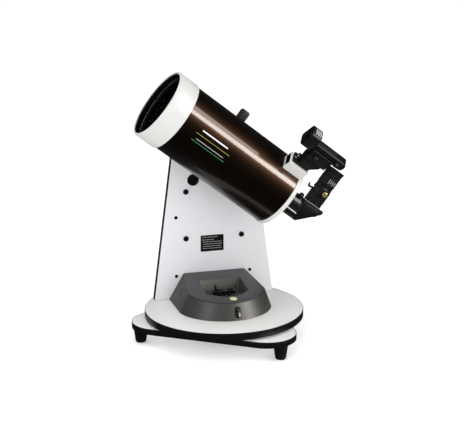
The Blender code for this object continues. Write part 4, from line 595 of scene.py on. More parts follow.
def build_clutch():
    low = TURNTABLE_TOP + .0225
    hub = turned("clutch_hub", [(low, .0063), (low, .0125), (low + .0048, .012), (low + .0052, .0095),
            (low + .0052, .0063)], SATIN_BLACK, WORLD, "Z", 72, ease=.0005)
    arm_low, arm_high = low + .005, low + .015
    outline = [(-.023, -.0045), (-.017, -.007), (.006, -.0062), (.02, -.007), (.023, -.0052), (.023, .0052),
            (.02, .007), (.006, .0062), (-.017, .007), (-.023, .0045)]
    arm = prism("clutch_arm", eased(outline, .002, 3), arm_low, arm_high - .0018, SATIN_BLACK, ease=.0009)
    well = prism("clutch_well", eased(rectangle(-.015, .019, -.0042, .0042), .002, 3), arm_high - .005,
            arm_high + .004, SATIN_BLACK)
    combine(arm, [well])
    lever = combine(hub, [arm], "UNION")
    put(lever, "clutch", "clutch_lever")
    fin = [(-.0195, arm_high - .004), (-.0125, arm_high - .004), (-.0165, arm_high + .0109),
            (-.0195, arm_high + .0109)]
    put(prism("clutch_fin", eased(fin, .001, 3), -.002, .002, PLASTIC, axis="Y", ease=.0006), "clutch")
    nut = turned("clutch_cap", [(arm_high - .006, 0), (arm_high - .006, .0068), (arm_high - .001, .0068),
            (arm_high, .0055), (arm_high, 0)], PLASTIC, WORLD, "Z", 48, ease=.0006)
    put(nut, "clutch")
    for k, x in enumerate((.01, .014, .018)):
        rib = prism(f"clutch_rib_{k + 1}", rectangle(x - .0006, x + .0006, -.0055, .0055), arm_high - .003,
                arm_high - .0004, PLASTIC, ease=.0003)
        put(rib, "clutch")


# ---------------------------------------------------------------- side panel
def panel_path(inset):
    low, high = TURNTABLE_TOP + FIT, TURNTABLE_TOP + .345 - inset
    slope = radians(7.73)
    foot = .126 - inset / cos(slope)
    head = foot - (high - low) * tan(slope)
    radius = .05 - inset
    turn = pi / 2 + slope
    reach = radius / tan(turn / 2)
    centre = (head - reach, high - radius)
    right = arc(centre, radius, slope, pi / 2, 24)
    left = [(-x, z) for x, z in reversed(right)]
    return [(foot, low)] + right + left + [(-foot, low)]


def on_panel(x, height):
    """A frame on the panel's front face, with Z out of it."""
    return moved(PANEL, (x, PANEL_FRONT, height), (UPRIGHT, 0, 0))


def build_panel():
    # two thin white faces that reach over the black edge trim, and the core between them
    skin = .0006
    bore = turned("panel_bore_space", rod(PANEL_FRONT - .01, PANEL_BACK + .01, .0128), LAMINATE, COVER, "Y", 64)
    core = prism("panel_core", panel_path(EDGE_BAND), PANEL_FRONT + skin / 2, PANEL_BACK - skin / 2, LAMINATE,
            axis="Y")
    faces = [prism(f"panel_skin_{k}", panel_path(.0002), low, low + skin, LAMINATE, axis="Y", ease=.0002) for k,
            low in enumerate((PANEL_FRONT, PANEL_BACK - skin))]
    board = combine(combine(core, faces, "UNION"), [bore])
    board.name = "side_panel_looks"
    put(board, "turntable", "side_panel", slot="board_white")
    trim = prism("panel_edge_trim", panel_path(0) + panel_path(EDGE_BAND)[::-1], PANEL_FRONT + skin,
            PANEL_BACK - skin, EDGE, axis="Y")
    put(trim, "turntable", "panel_edge_band", slot="edge_black")

    for number, (x, height) in enumerate(((-.0579, .2245), (-.0586, .1264), (.0587, .1271)), 1):
        where = on_panel(x, height)
        head = turned(f"panel_bolt_{number}_looks", [(-.014, 0), (-.014, .003), (.0003, .003), (.0003, .0058),
                (.0016, .0056), (.0027, .0044), (.0029, .003), (.0029, 0)], SATIN_BLACK, where, "Z", 48,
                ease=.0004)
        socket = prism("bolt_socket", circle(.0023, 6), .0012, .006, EDGE, where)
        combine(head, [socket])
        put(head, "turntable", f"panel_bolt_{number}")
    for number, (x, height) in enumerate(((-.079, .172), (-.0797, .0481), (.0767, .0492)), 1):
        where = on_panel(x, height)
        cap = turned(f"panel_cap_{number}", [(-.003, 0), (-.003, .0025), (0, .0025), (0, .0036), (.0006, .0034),
                (.0011, .0022), (.0012, 0)], SATIN_BLACK, where, "Z", 40)
        put(cap, "turntable")
    where = on_panel(-.0424, .2481)
    plug = turned("panel_plug", [(-.004, 0), (-.004, .01), (0, .01), (0, .0122), (.001, .0118), (.0012, .01),
            (.0006, .0092), (.0006, 0)], SATIN_BLACK, where, "Z", 72, ease=.0002)
    put(plug, "turntable")

    # a plain plate with rows of blocks where the printed one stands
    plate_front = PANEL_FRONT - .0007
    plate = prism("panel_plate", eased(rectangle(-.028, .0204, .0962, .1304), .0012, 3), plate_front,
            PANEL_FRONT, SATIN_BLACK, PANEL, "Y", ease=.0002)
    put(plate, "turntable")
    rows = ((.74, .1262), (.55, .1208), (.88, .1162), (.9, .1116), (.86, .107), (.9, .1024))
    for number, (share, height) in enumerate(rows, 1):
        left = -.0252 if number < 3 else -.0236
        words = []
        x = left
        k = 0
        while x < left + share * .044:
            width = (.004, .0026, .0052, .0018, .0034)[(k + number) % 5]
            words.append(rectangle(x, min(x + width, left + share * .0445), height - .0007, height + .0007))
            x += width + .001
            k += 1
        points, faces = [], []
        for word in words:
            base = len(points)
            points += [(a, plate_front, b) for a, b in word] + [(a, plate_front - .0001, b) for a, b in word]
            faces += [tuple(base + j for j in range(4)), tuple(base + 7 - j for j in range(4))]
            faces += [(base + j, base + (j + 1) % 4, base + 4 + (j + 1) % 4, base + 4 + j) for j in range(4)]
        put(add(f"panel_plate_row_{number}", points, faces, PLATE_PRINT, PANEL), "turntable")


def build_cover():
    low, high = PANEL_BACK + FIT, PANEL_BACK + FIT + .032
    outline = eased(rectangle(-.052, .052, -.1, .037), .018, 12)
    pull = [(0.0, low), (0.0, high - .004), (.0005, high - .002), (.002, high - .0005), (.004, high)]
    rings = [[(x, level, z) for x, z in (inset_outline(outline, inset) if inset else outline)] for inset,
            level in pull]
    cover = loft("altitude_cover_looks", rings, HOUSING, COVER, sharp=40)
    hollow = prism("cover_space", eased(rectangle(-.0495, .0495, -.0975, .0345), .0155, 12), low - .01,
            high - .0025, HOUSING, COVER, "Y")
    vents = [prism(f"vent_space_{k}", stadium(.03, .0024), high - .0012, high + .01, PLASTIC,
            moved(COVER, (-.02 + .005 * k, 0, -.062)), "Y") for k in range(9)]
    combine(cover, [hollow] + vents, sharp=40)
    put(cover, "turntable", "altitude_cover", slot="housing_grey")
    for k, (x, z) in enumerate(((-.04, .025), (.04, .025), (-.04, -.088), (.04, -.088))):
        where = moved(COVER, (x, high - .0014, z), (-UPRIGHT, 0, 0))
        screw(f"cover_screw_{k + 1}", "turntable", "plastic_black", where, .003, .0014, SATIN_BLACK)
    cap = turned("cover_axis_cap", [(high - .0005, 0), (high - .0005, .0135), (high - .0002, .0135),
            (high - .0002, .0112), (high, .0108), (high, 0)], PLASTIC, COVER, "Y", 80)
    put(cap, "turntable")


# ---------------------------------------------------------------- saddle, bar and knob
def build_saddle():
    gap, bar, slant = .0006, .022, .0035
    floor, back = .0589, .069
    grip = floor - .011
    wall_low, wall_high = bar + gap + .0155, bar + gap + .0225

    def half(y):
        return bar - slant * (.0583 - y) / .012

    section = [(back, wall_high), (grip, wall_high), (grip, wall_low), (floor, wall_low),
            (floor, -half(floor) - gap), (grip, -half(grip) - gap), (grip, -bar - gap - .0105),
            (back, -bar - gap - .0105)]
    saddle = prism("saddle_looks", eased(section, .0006, 1), -.035, .035, ANODISED, ALTITUDE, "X", ease=.0006)
    hole = turned("clamp_space", rod(wall_low - .01, wall_high + .01, .0045), ANODISED,
            moved(ALTITUDE, (.008, (grip + floor) / 2, 0)), "Z", 40)
    combine(saddle, [hole])
    put(saddle, "arm", "saddle", slot="anodised_black")

    jaw_back = floor - .001
    jaw = [(jaw_back, half(jaw_back) + gap), (jaw_back, bar + gap + .0105), (grip, bar + gap + .0105),
            (grip, half(grip) + gap)]
    put(prism("saddle_jaw_looks", eased(jaw, .0005, 1), -.03, .03, ALUMINIUM, ALTITUDE, "X", ease=.0005),
            "clamp_jaw", "saddle_jaw", slot="aluminium")

    top = wall_high + .0469
    low = top - .0215
    start = bar + gap + .0105 + .002
    profile = [(start, 0), (start, .004), (low, .004), (low, .0088), (low + .0018, .0105), (top - .004, .0105),
            (top - .0014, .0097), (top, .007), (top, 0)]
    knob = turned("saddle_knob_looks", profile, KNOB_RUBBER, moved(ALTITUDE, (.008, (grip + floor) / 2, 0)),
            "Z", 96, ease=.0012, fluted=(low + .0017, top - .0015, .0098), depth=.0006)
    put(knob, "clamp_knob", "saddle_knob")

    flange = turned("altitude_flange_looks", [(.0693, 0), (.0693, .0245), (.0698, .025), (.0754, .025),
            (.0759, .0245), (.0759, .008), (.1192, .008), (.1192, 0)], ANODISED, COVER, "Y", 80)
    put(flange, "arm", "altitude_shaft", slot="steel")

    half_front = bar - slant
    section = [(.0583, -bar), (.0583, bar), (.0463, half_front), (.0463, -half_front)]
    rail = prism("dovetail_bar_looks", eased(section, .0005, 1), -.1, .1, ANODISED, ALTITUDE, "X", ease=.0008)
    put(rail, "telescope", "dovetail_bar", slot="aluminium")
    for k, x in enumerate((-.088, .088)):
        screw(f"bar_stop_{k + 1}", "telescope", "aluminium", moved(ALTITUDE, (x, .0583, 0), (-UPRIGHT, 0, 0)),
                .0028, .0004, STEEL, socket=False)


# ---------------------------------------------------------------- tube
def build_tube():
    socket = TUBE_RADIUS + FIT
    shell = turned("tube_shell_looks", pipe(.0333, .3064, TUBE_RADIUS - .0016, TUBE_RADIUS), TUBE_ENAMEL,
            OPTICS, "X", 192)
    shell.data.materials.append(MATT_BLACK_AND_PAINTED_SHADE)
    for face in shell.data.polygons:
        middle = Vector(face.center)
        if abs(face.normal.x) < .5 and face.normal.dot(Vector((0, middle.y, middle.z))) < 0:
            face.material_index = 1
    put(shell, "telescope", "tube_shell", slot="tube_enamel")

    # front ring: white outside, matt black with fine grooves inside
    bore = RING_RADIUS - .0042
    outside = [(0.0, bore), (0.0, RING_RADIUS - .0016), (.0004, RING_RADIUS - .0006), (.0014, RING_RADIUS),
            (.0425, RING_RADIUS), (.0436, RING_RADIUS - .0004), (.044, RING_RADIUS - .0013), (.044, socket),
            (.0333, socket), (.0333, LENS_SEAT + .0012), (.004, bore + .0012), (.0008, bore + .0001)]
    ring = turned("front_ring_looks", outside, ENAMEL, OPTICS, "X", 192)
    put(ring, "telescope", "front_ring", slot="enamel_white")
    grooves = [(.001, bore + .0011)]
    place = .001
    while place < .0124:
        grooves += [(place, bore), (place + .0006, bore), (place + .0008, bore + .0006),
                (place + .0012, bore + .0006)]
        place += .0014
    grooves += [(place, bore), (.0187, bore), (.0187, LENS_SEAT), (.03, LENS_SEAT), (.03, .0628), (.033, .0628),
            (.033, bore + .0011)]
    put(turned("front_ring_bore", grooves, MATT_BLACK_AND_PAINTED_SHADE, OPTICS, "X", 160), "telescope")

    retainer = [(.0134, .0632), (.0134, .0676), (.0138, .068), (.0184, .068), (.0184, .0628), (.0142, .0628)]
    put(turned("corrector_retainer_looks", retainer, SATIN_BLACK, OPTICS, "X", 160), "telescope",
            "corrector_retainer")
    # a thin pale metal ring at the retainer's inner edge: a painted highlight arc
    edge = turned("retainer_painted_highlight", pipe(.0131, .0134, .063, .0634), RETAINER_PAINTED_HIGHLIGHT, OPTICS, "X", 160)
    put(edge, "telescope")

    clear = .062
    front, back = [], []
    for k in range(13):
        radius = clear * (1 - k / 12)
        front.append((.019 + (clear ** 2 - radius ** 2) / (2 * .19965), radius))
        back.append((.0297 + (clear ** 2 - radius ** 2) / (2 * .205), radius))
    profile = front[::-1] + [(.019, .066), (.0297, .066)] + back
    put(turned("corrector_looks", profile, LENS, OPTICS, "X", 128), "telescope", "corrector_lens",
            slot="coated_glass")

    cup = back[-1][0] + .0004
    profile = [(cup, 0), (cup, .019), (cup + .017, .021), (cup + .017, .0195), (cup + .0015, .0175),
            (cup + .0015, 0)]
    put(turned("secondary_baffle_looks", profile, MATT_BLACK_AND_PAINTED_SHADE, OPTICS, "X", 72), "telescope",
            "secondary_baffle")
    spot = turned("secondary_spot", rod(cup - .00035, cup - .0001, .0185), MIRROR, OPTICS, "X", 72)
    put(spot, "telescope", slot="mirror_coating")

    build_rear()
    stripes = ((.074, .154, 90.2, .00085, STRIPE_YELLOW), (.0748, .153, 103.0, .00085, STRIPE_GREEN),
            (.083, .144, 82.2, .0027, STRIPE_WHITE), (.0815, .1465, 98.2, .0013, STRIPE_GREY))
    for number, (start, end, bearing, width, finish) in enumerate(stripes, 1):
        spread_angle = width / TUBE_RADIUS
        centre = radians(bearing)
        rings = []
        for along in (start, end):
            ring = []
            for radius, order in ((TUBE_RADIUS + .00008, 1), (TUBE_RADIUS - .0002, -1)):
                steps = [centre + spread_angle * (j / 6 - .5) * order for j in range(7)]
                ring += [(along, -radius * sin(a), radius * cos(a)) for a in steps]
            rings.append(ring)
        put(loft(f"tube_line_{number}", rings, finish, OPTICS), "telescope", slot="tube_enamel")


def build_rear():
    front = .3027
    profile = [(front, .0243), (front, RING_RADIUS - .001), (front + .0008, RING_RADIUS),
            (TUBE_END - .0012, RING_RADIUS), (TUBE_END - .0003, RING_RADIUS - .0005),
            (TUBE_END, RING_RADIUS - .0014), (TUBE_END + .0004, .069), (TUBE_END + .0024, .0625),
            (REAR_CELL_BACK, .059), (REAR_CELL_BACK, .0243)]
    cell = turned("rear_cell_looks", profile, ENAMEL, OPTICS, "X", 192)
    boss = prism("boss_solid", eased(rectangle(-.0158, .0158, .064, BOSS_TOP), .001, 3, skip=(0, 1)), -.05,
            -.005, ENAMEL, FINDER, "X", ease=.0008)
    combine(cell, [boss], "UNION")
    socket = turned("socket_space", rod(.255, front + .004, TUBE_RADIUS + FIT), ENAMEL, OPTICS, "X", 160)
    hole = turned("focus_space", rod(.29, .33, .0035), ENAMEL, FOCUS, "X", 32)
    ribs = []
    for side in (-1, 1):
        for k in range(6):
            height = .0735 + .0028 * k
            ribs.append(prism(f"rib_space_{side}_{k}", rectangle(side * .0158 - .00045, side * .0158 + .00045,
                    height, height + .0011), -.0482, -.0068, ENAMEL, FINDER, "X"))
    pocket = prism("boss_pocket", eased(rectangle(-.0128, .0128, .0745, BOSS_TOP - .003), .0015, 3), -.052,
            -.043, MATT_BLACK_AND_PAINTED_SHADE, FINDER, "X")
    combine(cell, [socket, hole, pocket] + ribs, sharp=35)
    # the pocket in the boss is painted matt black inside: painted shade in the recess
    cell.data.materials.append(MATT_BLACK_AND_PAINTED_SHADE)
    to_finder = FINDER.inverted() @ OPTICS
    for face in cell.data.polygons:
        x, y, z = to_finder @ Vector(face.center)
        if -.0499 < x < -.0425 and abs(y) < .013 and .0743 < z < .088:
            face.material_index = 1
    put(cell, "telescope", "rear_cell", slot="enamel_white")

    flange = REAR_CELL_BACK + FIT
    bore = BORE_RADIUS
    end = VISUAL_BACK_END
    profile = [(.307, bore), (.307, .024), (flange, .024), (flange, .0265), (flange + .0005, .027),
            (flange + .0032, .027), (flange + .0037, .0265), (flange + .0037, .0206), (flange + .012, .0206),
            (flange + .0124, .02), (flange + .0136, .02), (flange + .014, .0206), (end - .016, .0206),
            (end - .0156, .0201), (end - .015, .0201), (end - .0146, .0206), (end - .0006, .0206), (end, .02),
            (end, bore + .0008), (end - .0008, bore)]
    back = turned("visual_back_looks", profile, ANODISED, OPTICS, "X", 112)
    hole = moved(OPTICS, (end - .0075, 0, 0), (radians(42), 0, 0))
    combine(back, [turned("back_screw_space", rod(bore - .002, .026, .0021), ANODISED, hole, "Z", 24)])
    put(back, "telescope", "visual_back", slot="anodised_black")
    thumbscrew("back_screw_looks", hole, .0206, SATIN_BLACK, "back_screw", "anodised_black",
            "visual_back_screw")
    for k in range(3):
        angle = radians(150 + 120 * k)
        where = moved(OPTICS, (REAR_CELL_BACK - .0004, .05 * sin(angle), .05 * cos(angle)), (0, UPRIGHT, 0))
        screw(f"collimation_screw_{k + 1}", "telescope", "steel", where, .0034, .0022, SATIN_BLACK)

    knob = REAR_CELL_BACK + .004
    profile = [(.2915, 0), (.2915, .003), (knob, .003), (knob, .0086), (knob + .0008, .0095),
            (knob + .0278, .0095), (knob + .029, .0083), (knob + .029, .006), (knob + .0286, .0056),
            (knob + .0286, 0)]
    focus = turned("focus_knob_looks", profile, SATIN_BLACK, FOCUS, "X", 96, ease=.0004,
            fluted=(knob + .003, knob + .027, .009), depth=.0005)
    put(focus, "focuser", "focus_knob", slot="rubber_black")


def thumbscrew(name, where, wall, finish, body, slot, node):
    """A knurled thumbscrew with a collar, along its frame's Z."""
    neck = wall + .0025
    top = neck + .0085
    profile = [(BORE_RADIUS + FIT, 0), (BORE_RADIUS + FIT, .0018), (neck - .0006, .0018), (neck - .0006, .0034),
            (neck + .0012, .0034), (neck + .0014, .0048), (neck + .0018, .0052), (top - .0008, .0052),
            (top - .0002, .0047), (top, .004), (top - .0003, .0022), (top - .0003, 0)]
    made = turned(name, profile, finish, where, "Z", 72, fluted=(neck + .0017, top - .0007, .005), depth=.0004)
    return put(made, body, node, slot=slot)


# ---------------------------------------------------------------- diagonal and eyepiece
def build_diagonal():
    back, crossing = COLLAR_BACK, EYEPIECE_STATION
    slant = .006 * sqrt(2) + .003

    def outline(inset):
        reach = crossing + slant - inset * sqrt(2)
        top, low = .0195 - inset, -.0275 + inset
        tail = min(reach + top, crossing + HOLDER_RADIUS + .005 - inset)
        return [(back + inset, low), (reach + low, low), (tail, tail - reach), (tail, top), (back + inset, top)]

    body = prism("diagonal_looks", eased(outline(0), .0022, 4), -.0195, .0195, PLASTIC, OPTICS, "Y", ease=.0012,
            steps=3)
    nose = turned("nose_solid", [(VISUAL_BACK_END - .028, 0), (VISUAL_BACK_END - .028, .0152),
            (VISUAL_BACK_END - .0273, BARREL_RADIUS), (back - .003, BARREL_RADIUS), (back - .003, .0183),
            (back - .0024, HOLDER_RADIUS), (back + .001, HOLDER_RADIUS), (back + .001, 0)], PLASTIC, OPTICS,
            "X", 96)
    combine(body, [nose], "UNION")
    hollow = prism("diagonal_space", outline(.003), -.0165, .0165, MATT_BLACK_AND_PAINTED_SHADE, OPTICS, "Y")
    bore = turned("nose_space", rod(VISUAL_BACK_END - .04, back + .005, BARREL_BORE), MATT_BLACK_AND_PAINTED_SHADE, OPTICS, "X",
            72)
    light = turned("top_space", rod(.014, .03, BARREL_BORE), MATT_BLACK_AND_PAINTED_SHADE, EYEPIECE, "Z", 72)
    combine(body, [hollow, bore, light], sharp=38)
    put(body, "diagonal", "diagonal_body")
    for side in (-1, 1):
        face = side * .0195
        panel = [(back + .0045, -.0235), (crossing + slant - .03, -.0235), (crossing + .0165, .0035),
                (crossing + .0165, .0135), (back + .0045, .0135)]
        low, high = (face - .0004, face) if side < 0 else (face, face + .0004)
        plate = prism(f"diagonal_cheek_{'front' if side < 0 else 'back'}", eased(panel, .003, 4), low, high,
                SATIN_BLACK, OPTICS, "Y", ease=.0002)
        put(plate, "diagonal")
        for k, (x, z) in enumerate(((back + .0075, -.0205), (back + .0075, .0105), (crossing + .0135, .0105))):
            where = moved(OPTICS, (x, face + side * .0003, z), (-side * UPRIGHT, 0, 0))
            screw(f"diagonal_screw_{'front' if side < 0 else 'back'}_{k + 1}", "diagonal", "steel", where,
                    .0016, .0005, SATIN_BLACK, socket=False)

    low, top = HOLDER_BOTTOM, HOLDER_TOP
    radius = HOLDER_RADIUS
    profile = [(low, BORE_RADIUS), (low, radius - .0006), (low + .0006, radius), (low + .0065, radius),
            (low + .0069, radius - .0006), (low + .0079, radius - .0006), (low + .0083, radius),
            (top - .0155, radius), (top - .0151, radius - .0005), (top - .0146, radius - .0005),
            (top - .0142, radius), (top - .0008, radius), (top, radius - .0008), (top, BORE_RADIUS + .0006),
            (top - .0006, BORE_RADIUS)]
    holder = turned("eyepiece_holder_looks", profile, ANODISED, EYEPIECE, "Z", 112)
    height = top - .0075
    first = moved(EYEPIECE, (0, 0, height), (UPRIGHT, 0, 0))
    second = moved(EYEPIECE, (0, 0, height), (0, -UPRIGHT, 0))
    combine(holder, [turned(f"holder_space_{k}", rod(.0145, .0215, .0021), ANODISED, where, "Z", 24) for k,
            where in enumerate((first, second))])
    put(holder, "diagonal", "eyepiece_holder", slot="anodised_black")
    thumbscrew("brass_screw_looks", first, radius, BRASS, "brass_screw", "brass", "holder_screw_1")
    thumbscrew("chrome_screw_looks", second, radius, CHROME, "chrome_screw", "steel", "holder_screw_2")


def build_eyepiece():
    low = HOLDER_TOP + FIT
    top = low + .0355
    radius = EYEPIECE_RADIUS
    barrel = turned("eyepiece_barrel", [(low - .028, BARREL_BORE), (low - .028, .0154),
            (low - .0274, BARREL_RADIUS), (low - .016, BARREL_RADIUS), (low - .0155, .0154), (low - .01, .0154),
            (low - .0095, BARREL_RADIUS), (low - .0002, BARREL_RADIUS), (low - .0002, BARREL_BORE)], CHROME,
            EYEPIECE, "Z", 96)
    put(barrel, "eyepiece", slot="steel")
    profile = [(low, .009), (low, radius - .0006), (low + .0006, radius), (low + .0016, radius)]
    place = low + .002
    while place < low + .0095:
        profile += [(place, radius - .0003), (place + .0011, radius - .0003), (place + .0013, radius - .0012),
                (place + .0017, radius - .0012)]
        place += .002
    profile += [(place, radius), (top - .0072, radius), (top - .0068, radius - .0008),
            (top - .0058, radius - .0008), (top - .0054, radius), (top - .0006, radius), (top, radius - .0006),
            (top, .0113), (top - .0045, .0113), (top - .0045, .009)]
    body = turned("eyepiece_body_looks", profile, ANODISED, EYEPIECE, "Z", 112)
    put(body, "eyepiece", "eyepiece_body", slot="anodised_black")
    # white index marks round the body
    for k in range(5):
        where = EYEPIECE @ Matrix.Rotation(radians(-106 + 14 * k), 4, "Z")
        start = low + (.014 if k % 2 == 0 else .0165)
        mark = prism(f"eyepiece_mark_{k + 1}", rectangle(-.00032, .00032, start, low + .024), radius - .0002,
                radius + .00008, STRIPE_WHITE, where, "X")
        put(mark, "eyepiece")
    lens = turned("eye_lens_looks", [(top - .004, 0), (top - .004, .011), (top - .0008, .011),
            (top - .0004, .008), (top, .004), (top + .0001, 0)], LENS, EYEPIECE, "Z", 72)
    put(lens, "eyepiece", "eye_lens", slot="coated_glass")
    cup, rim = top + FIT, top + FIT + .0105
    profile = [(cup, .0123), (cup, EYEPIECE_RADIUS), (cup + .004, .0184), (cup + .007, .0189),
            (rim - .0008, .0197), (rim, .0193), (rim - .0004, .0178), (cup + .006, .0166), (cup + .0022, .0161),
            (cup + .0022, .0123)]
    put(turned("eye_cup_looks", profile, RUBBER, EYEPIECE, "Z", 112, ease=.0008), "eyepiece", "eye_cup",
            slot="rubber_black")


# ---------------------------------------------------------------- finder
def build_finder():
    base = BOSS_TOP + FIT
    foot, top = base + .0065, base + .0285
    section = [(-.047, base), (-.009, base), (-.009, foot), (.003, top - .006), (.003, top), (-.038, top),
            (-.038, top - .005), (-.035, foot + .005), (-.035, foot), (-.047, foot)]
    bracket = prism("finder_bracket_looks", eased(section, .0014, 3), -.011, .011, PLASTIC, FINDER, "Y",
            ease=.0009)
    put(bracket, "telescope", "finder_bracket")
    clamp = moved(FINDER, (-.0415, 0, foot - .0002))
    screw("shoe_screw", "telescope", "steel", clamp, .004, .0105, CHROME)
    washer = turned("shoe_washer", pipe(foot - .0003, foot + .0008, .003, .005), CHROME,
            moved(FINDER, (-.0415, 0, 0)), "Z", 40)
    put(washer, "telescope", slot="steel")

    low = top + RUNNING
    plate = low + .006
    cheek_in, cheek_out, cheek_top = .0105, .0135, plate + .02
    section = [(-cheek_out, low), (cheek_out, low), (cheek_out, cheek_top), (cheek_in, cheek_top),
            (cheek_in, plate), (-cheek_in, plate), (-cheek_in, cheek_top), (-cheek_out, cheek_top)]
    cradle = prism("finder_cradle_looks", eased(section, .0007, 2), -.038, .009, PLASTIC, FINDER, "X",
            ease=.0008)
    put(cradle, "cradle", "finder_cradle")

    bar_low = plate + .0125
    bar_high = bar_low + .019
    outline = eased(rectangle(-.055, .0345, bar_low, bar_high), .008, 8, skip=(0, 3))
    sight = prism("finder_body_looks", outline, -.0095, .0095, PLASTIC, FINDER, "Y", ease=.0016, steps=3)
    frame_low, frame_high = bar_low - .002, bar_low + .036
    hood = prism("hood_solid", eased(rectangle(-.0155, .0155, frame_low, frame_high), .0085, 8), -.0665, -.0445,
            PLASTIC, FINDER, "X", ease=.001)
    combine(sight, [hood], "UNION")
    opening = eased(rectangle(-.0125, .0125, bar_high - .004, frame_high - .003), .0055, 6)
    space = prism("hood_space", opening, -.07, -.04, PLASTIC, FINDER, "X")
    groove = [prism(f"bar_groove_{side}", rectangle(-.04, .025, bar_high - .0062, bar_high - .0052),
            side * .0095 - .0004, side * .0095 + .0004, PLASTIC, FINDER, "Y") for side in (-1, 1)]
    combine(sight, [space] + groove, sharp=38)
    put(sight, "sight", "finder_body")
    pane = prism("finder_pane_looks", inset_outline(opening, .0003), -.0635, -.062, PANE, FINDER, "X")
    put(pane, "sight", "finder_window", slot="coated_glass")
    lid = prism("battery_lid", eased(rectangle(.008, .029, -.007, .007), .003, 5), bar_high - .0004,
            bar_high + .0006, SATIN_BLACK, FINDER, "Z", ease=.0003)
    put(lid, "sight")
    # pale window with ribs in the top of the hood
    glass = prism("hood_window", rectangle(-.06, -.047, -.0075, .0075), frame_high - .0006, frame_high + .00005,
            WINDOW, FINDER, "Z")
    put(glass, "sight", slot="coated_glass")
    for k in range(3):
        rib = prism(f"hood_rib_{k + 1}", rectangle(-.0572 + .0033 * k, -.0564 + .0033 * k, -.0075, .0075),
                frame_high - .0005, frame_high + .0003, PLASTIC, FINDER, "Z")
        put(rib, "sight")
    emitter = turned("emitter", rod(bar_high - .001, bar_high + .0012, .0022), SATIN_BLACK,
            moved(FINDER, (-.038, 0, 0)), "Z", 32, ease=.0004)
    put(emitter, "sight")

    def knob(name, body, node, place, radius, start, length, axis="Y", sign=-1):
        end = start + length
        profile = [(start, 0), (start, radius * .55), (start + length * .18, radius * .6),
                (start + length * .2, radius * .94), (start + length * .28, radius),
                (end - length * .1, radius), (end, radius * .88), (end - length * .05, radius * .5),
                (end - length * .05, 0)]
        profile = [(sign * along, r) for along, r in profile]
        span = sorted((sign * (start + length * .27), sign * (end - length * .09)))
        made = turned(name, profile, PLASTIC, moved(FINDER, place), axis, 64, fluted=(*span, radius * .97),
                depth=radius * .09)
        put(made, body, node)

    knob("tilt_knob_looks", "tilt_knob", "finder_tilt_knob", (-.024, 0, plate + .0075), .006, .014, .0075)
    knob("swivel_knob_looks", "swivel_knob", "finder_swivel_knob", (0, 0, top - .0048), .0045, .0035, .0075,
            "X", 1)
    knob("finder_dial_looks", "dial", "finder_dial", (.0165, 0, (bar_low + bar_high) / 2), .0062, .01, .0045)
    mark = prism("finder_dial_mark", rectangle(-.0004, .0004, .0012, .0048), -.0145, -.0142, STRIPE_GREY,
            moved(FINDER, (.0165, 0, (bar_low + bar_high) / 2)), "Y")
    put(mark, "dial")


# ---------------------------------------------------------------- pieces kept from the frame
def finish_nodes():
    """Gives the nodes that stay their materials."""
    kept = {
        "pivot_stud": STEEL, "bearing_ring": ALUMINIUM, "azimuth_wheel": BRASS, "azimuth_worm": STEEL,
        "azimuth_motor": STEEL, "control_board": CIRCUIT, "battery_tray": PLASTIC, "altitude_motor": STEEL,
        "altitude_bushing": BRASS, "altitude_worm": STEEL, "altitude_wheel": BRASS,
        "primary_baffle": MATT_BLACK_AND_PAINTED_SHADE, "primary_mirror": MIRROR, "mirror_carriage": ALUMINIUM,
        "diagonal_mirror": MIRROR,
    }
    for name, finish in kept.items():
        node = NODES[name]
        node.data.materials.clear()
        node.data.materials.append(finish)


# ---------------------------------------------------------------- stage, light and camera
def shader(tree, kind, colour, strength=None):
    made = tree.nodes.new(kind)
    made.inputs["Color"].default_value = (*colour, 1)
    if strength is not None:
        made.inputs["Strength"].default_value = strength
    return made


def by_ray(tree, ray, usual, special):
    """A shader that is special for one kind of ray."""
    path = tree.nodes.new("ShaderNodeLightPath")
    mix = tree.nodes.new("ShaderNodeMixShader")
    link(tree, path, ray, mix, 0)
    link(tree, usual, 0, mix, 1)
    link(tree, special, 0, mix, 2)
    return mix


def build_stage():
    bpy.ops.mesh.primitive_plane_add(size=60, location=(0, 0, FLOOR_LEVEL))
    floor = bpy.context.object
    floor.name = "floor"
    paint = bpy.data.materials.new("floor_white")
    paint.use_nodes = True
    tree = paint.node_tree
    tree.nodes.clear()
    pale = tree.nodes.new("ShaderNodeAddShader")
    link(tree, shader(tree, "ShaderNodeBsdfDiffuse", (FLOOR_WHITE,) * 3), 0, pale, 0)
    link(tree, shader(tree, "ShaderNodeEmission", (1, 1, 1), FLOOR_GLOW), 0, pale, 1)
    dark = shader(tree, "ShaderNodeBsdfDiffuse", (FLOOR_IN_GLOSS,) * 3)
    output = tree.nodes.new("ShaderNodeOutputMaterial")
    link(tree, by_ray(tree, "Is Glossy Ray", pale, dark), 0, output, "Surface")
    floor.data.materials.append(paint)


def softbox(name, direction, distance, size, power, colour, along, matt, gloss):
    """A rectangular lamp that faces the tube from a direction, with its long side along another.
    It lights matt surfaces, shows in glossy ones, or both."""
    target = Vector((0, -.03, .3))
    facing = Vector(direction).normalized()
    lamp = bpy.data.lights.new(name, "AREA")
    lamp.shape = "RECTANGLE"
    lamp.size, lamp.size_y = size
    lamp.energy = power
    lamp.color = colour
    holder = bpy.data.objects.new(name, lamp)
    bpy.context.scene.collection.objects.link(holder)
    holder.visible_camera = False
    holder.visible_diffuse = matt
    holder.visible_glossy = gloss
    long_side = Vector(along) if along else Vector((0, 0, 1)).cross(facing)
    long_side = (long_side - facing * long_side.dot(facing)).normalized()
    turn = Matrix((long_side, facing.cross(long_side), facing)).transposed().to_4x4()
    holder.matrix_world = Matrix.Translation(target + facing * distance) @ turn
    return holder


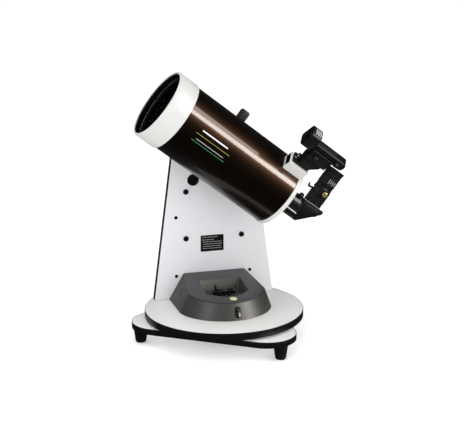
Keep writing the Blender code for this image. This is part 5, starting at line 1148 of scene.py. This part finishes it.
def build_light():
    world = bpy.data.worlds.new("studio")
    world.use_nodes = True
    tree = world.node_tree
    soft = shader(tree, "ShaderNodeBackground", (1, 1, 1), SKY_LIGHT)
    dim = shader(tree, "ShaderNodeBackground", (1.0, .99, .98), SKY_GLOSS)
    white = shader(tree, "ShaderNodeBackground", (1, 1, 1), 1.0)
    unseen = by_ray(tree, "Is Glossy Ray", soft, dim)
    seen = by_ray(tree, "Is Camera Ray", unseen, white)
    link(tree, seen, 0, tree.nodes["World Output"], "Surface")
    bpy.context.scene.world = world
    # direction, distance, size, power, colour, way of the long side, on matt surfaces, in glossy ones
    lamps = {
        "soft_top": ((-.25, -.55, 1.0), 3.0, (2.2, 2.2), 32, (1, 1, 1), None, True, False),
        "soft_front": ((.15, -1.0, .25), 3.0, (2.0, 1.2), 11, (1, 1, 1), None, True, False),
        "tube_strip": ((.682, -.657, .321), 2.2, (1.5, .46), 66, WARM, (.788, 0, -.616), False, True),
        "tube_sheen": ((.745, -.52, .49), 2.2, (1.9, .5), 30, WARM, (.74, -.36, -.57), False, True),
        "left_strip": ((-.78, -.58, .4), 2.4, (.5, 1.3), 22, (1, 1, 1), (0, 1, 0), False, True),
    }
    for name, facts in lamps.items():
        softbox(name, *facts)
    bpy.context.scene.view_settings.view_transform = "Standard"


def build_camera():
    lens = bpy.data.cameras.new("camera")
    lens.lens = 99.75
    lens.sensor_width = 36
    camera = bpy.data.objects.new("camera", lens)
    bpy.context.scene.collection.objects.link(camera)
    # on a tripod: the bearing it looks along, its tilt up from straight down, and a trace of roll
    camera.matrix_world = Matrix.Translation((-.643146, -2.376022, .841052 + TURNTABLE_TOP)) \
        @ Matrix.Rotation(radians(-15.5398), 4, "Z") @ Matrix.Rotation(radians(75.0997), 4, "X") \
        @ Matrix.Rotation(radians(-.2482), 4, "Z")
    bpy.context.scene.camera = camera


build_stand()
build_turntable()
build_housing()
build_clutch()
build_panel()
build_cover()
build_saddle()
build_tube()
build_diagonal()
build_eyepiece()
build_finder()
finish_nodes()
build_stage()
build_light()
build_camera()
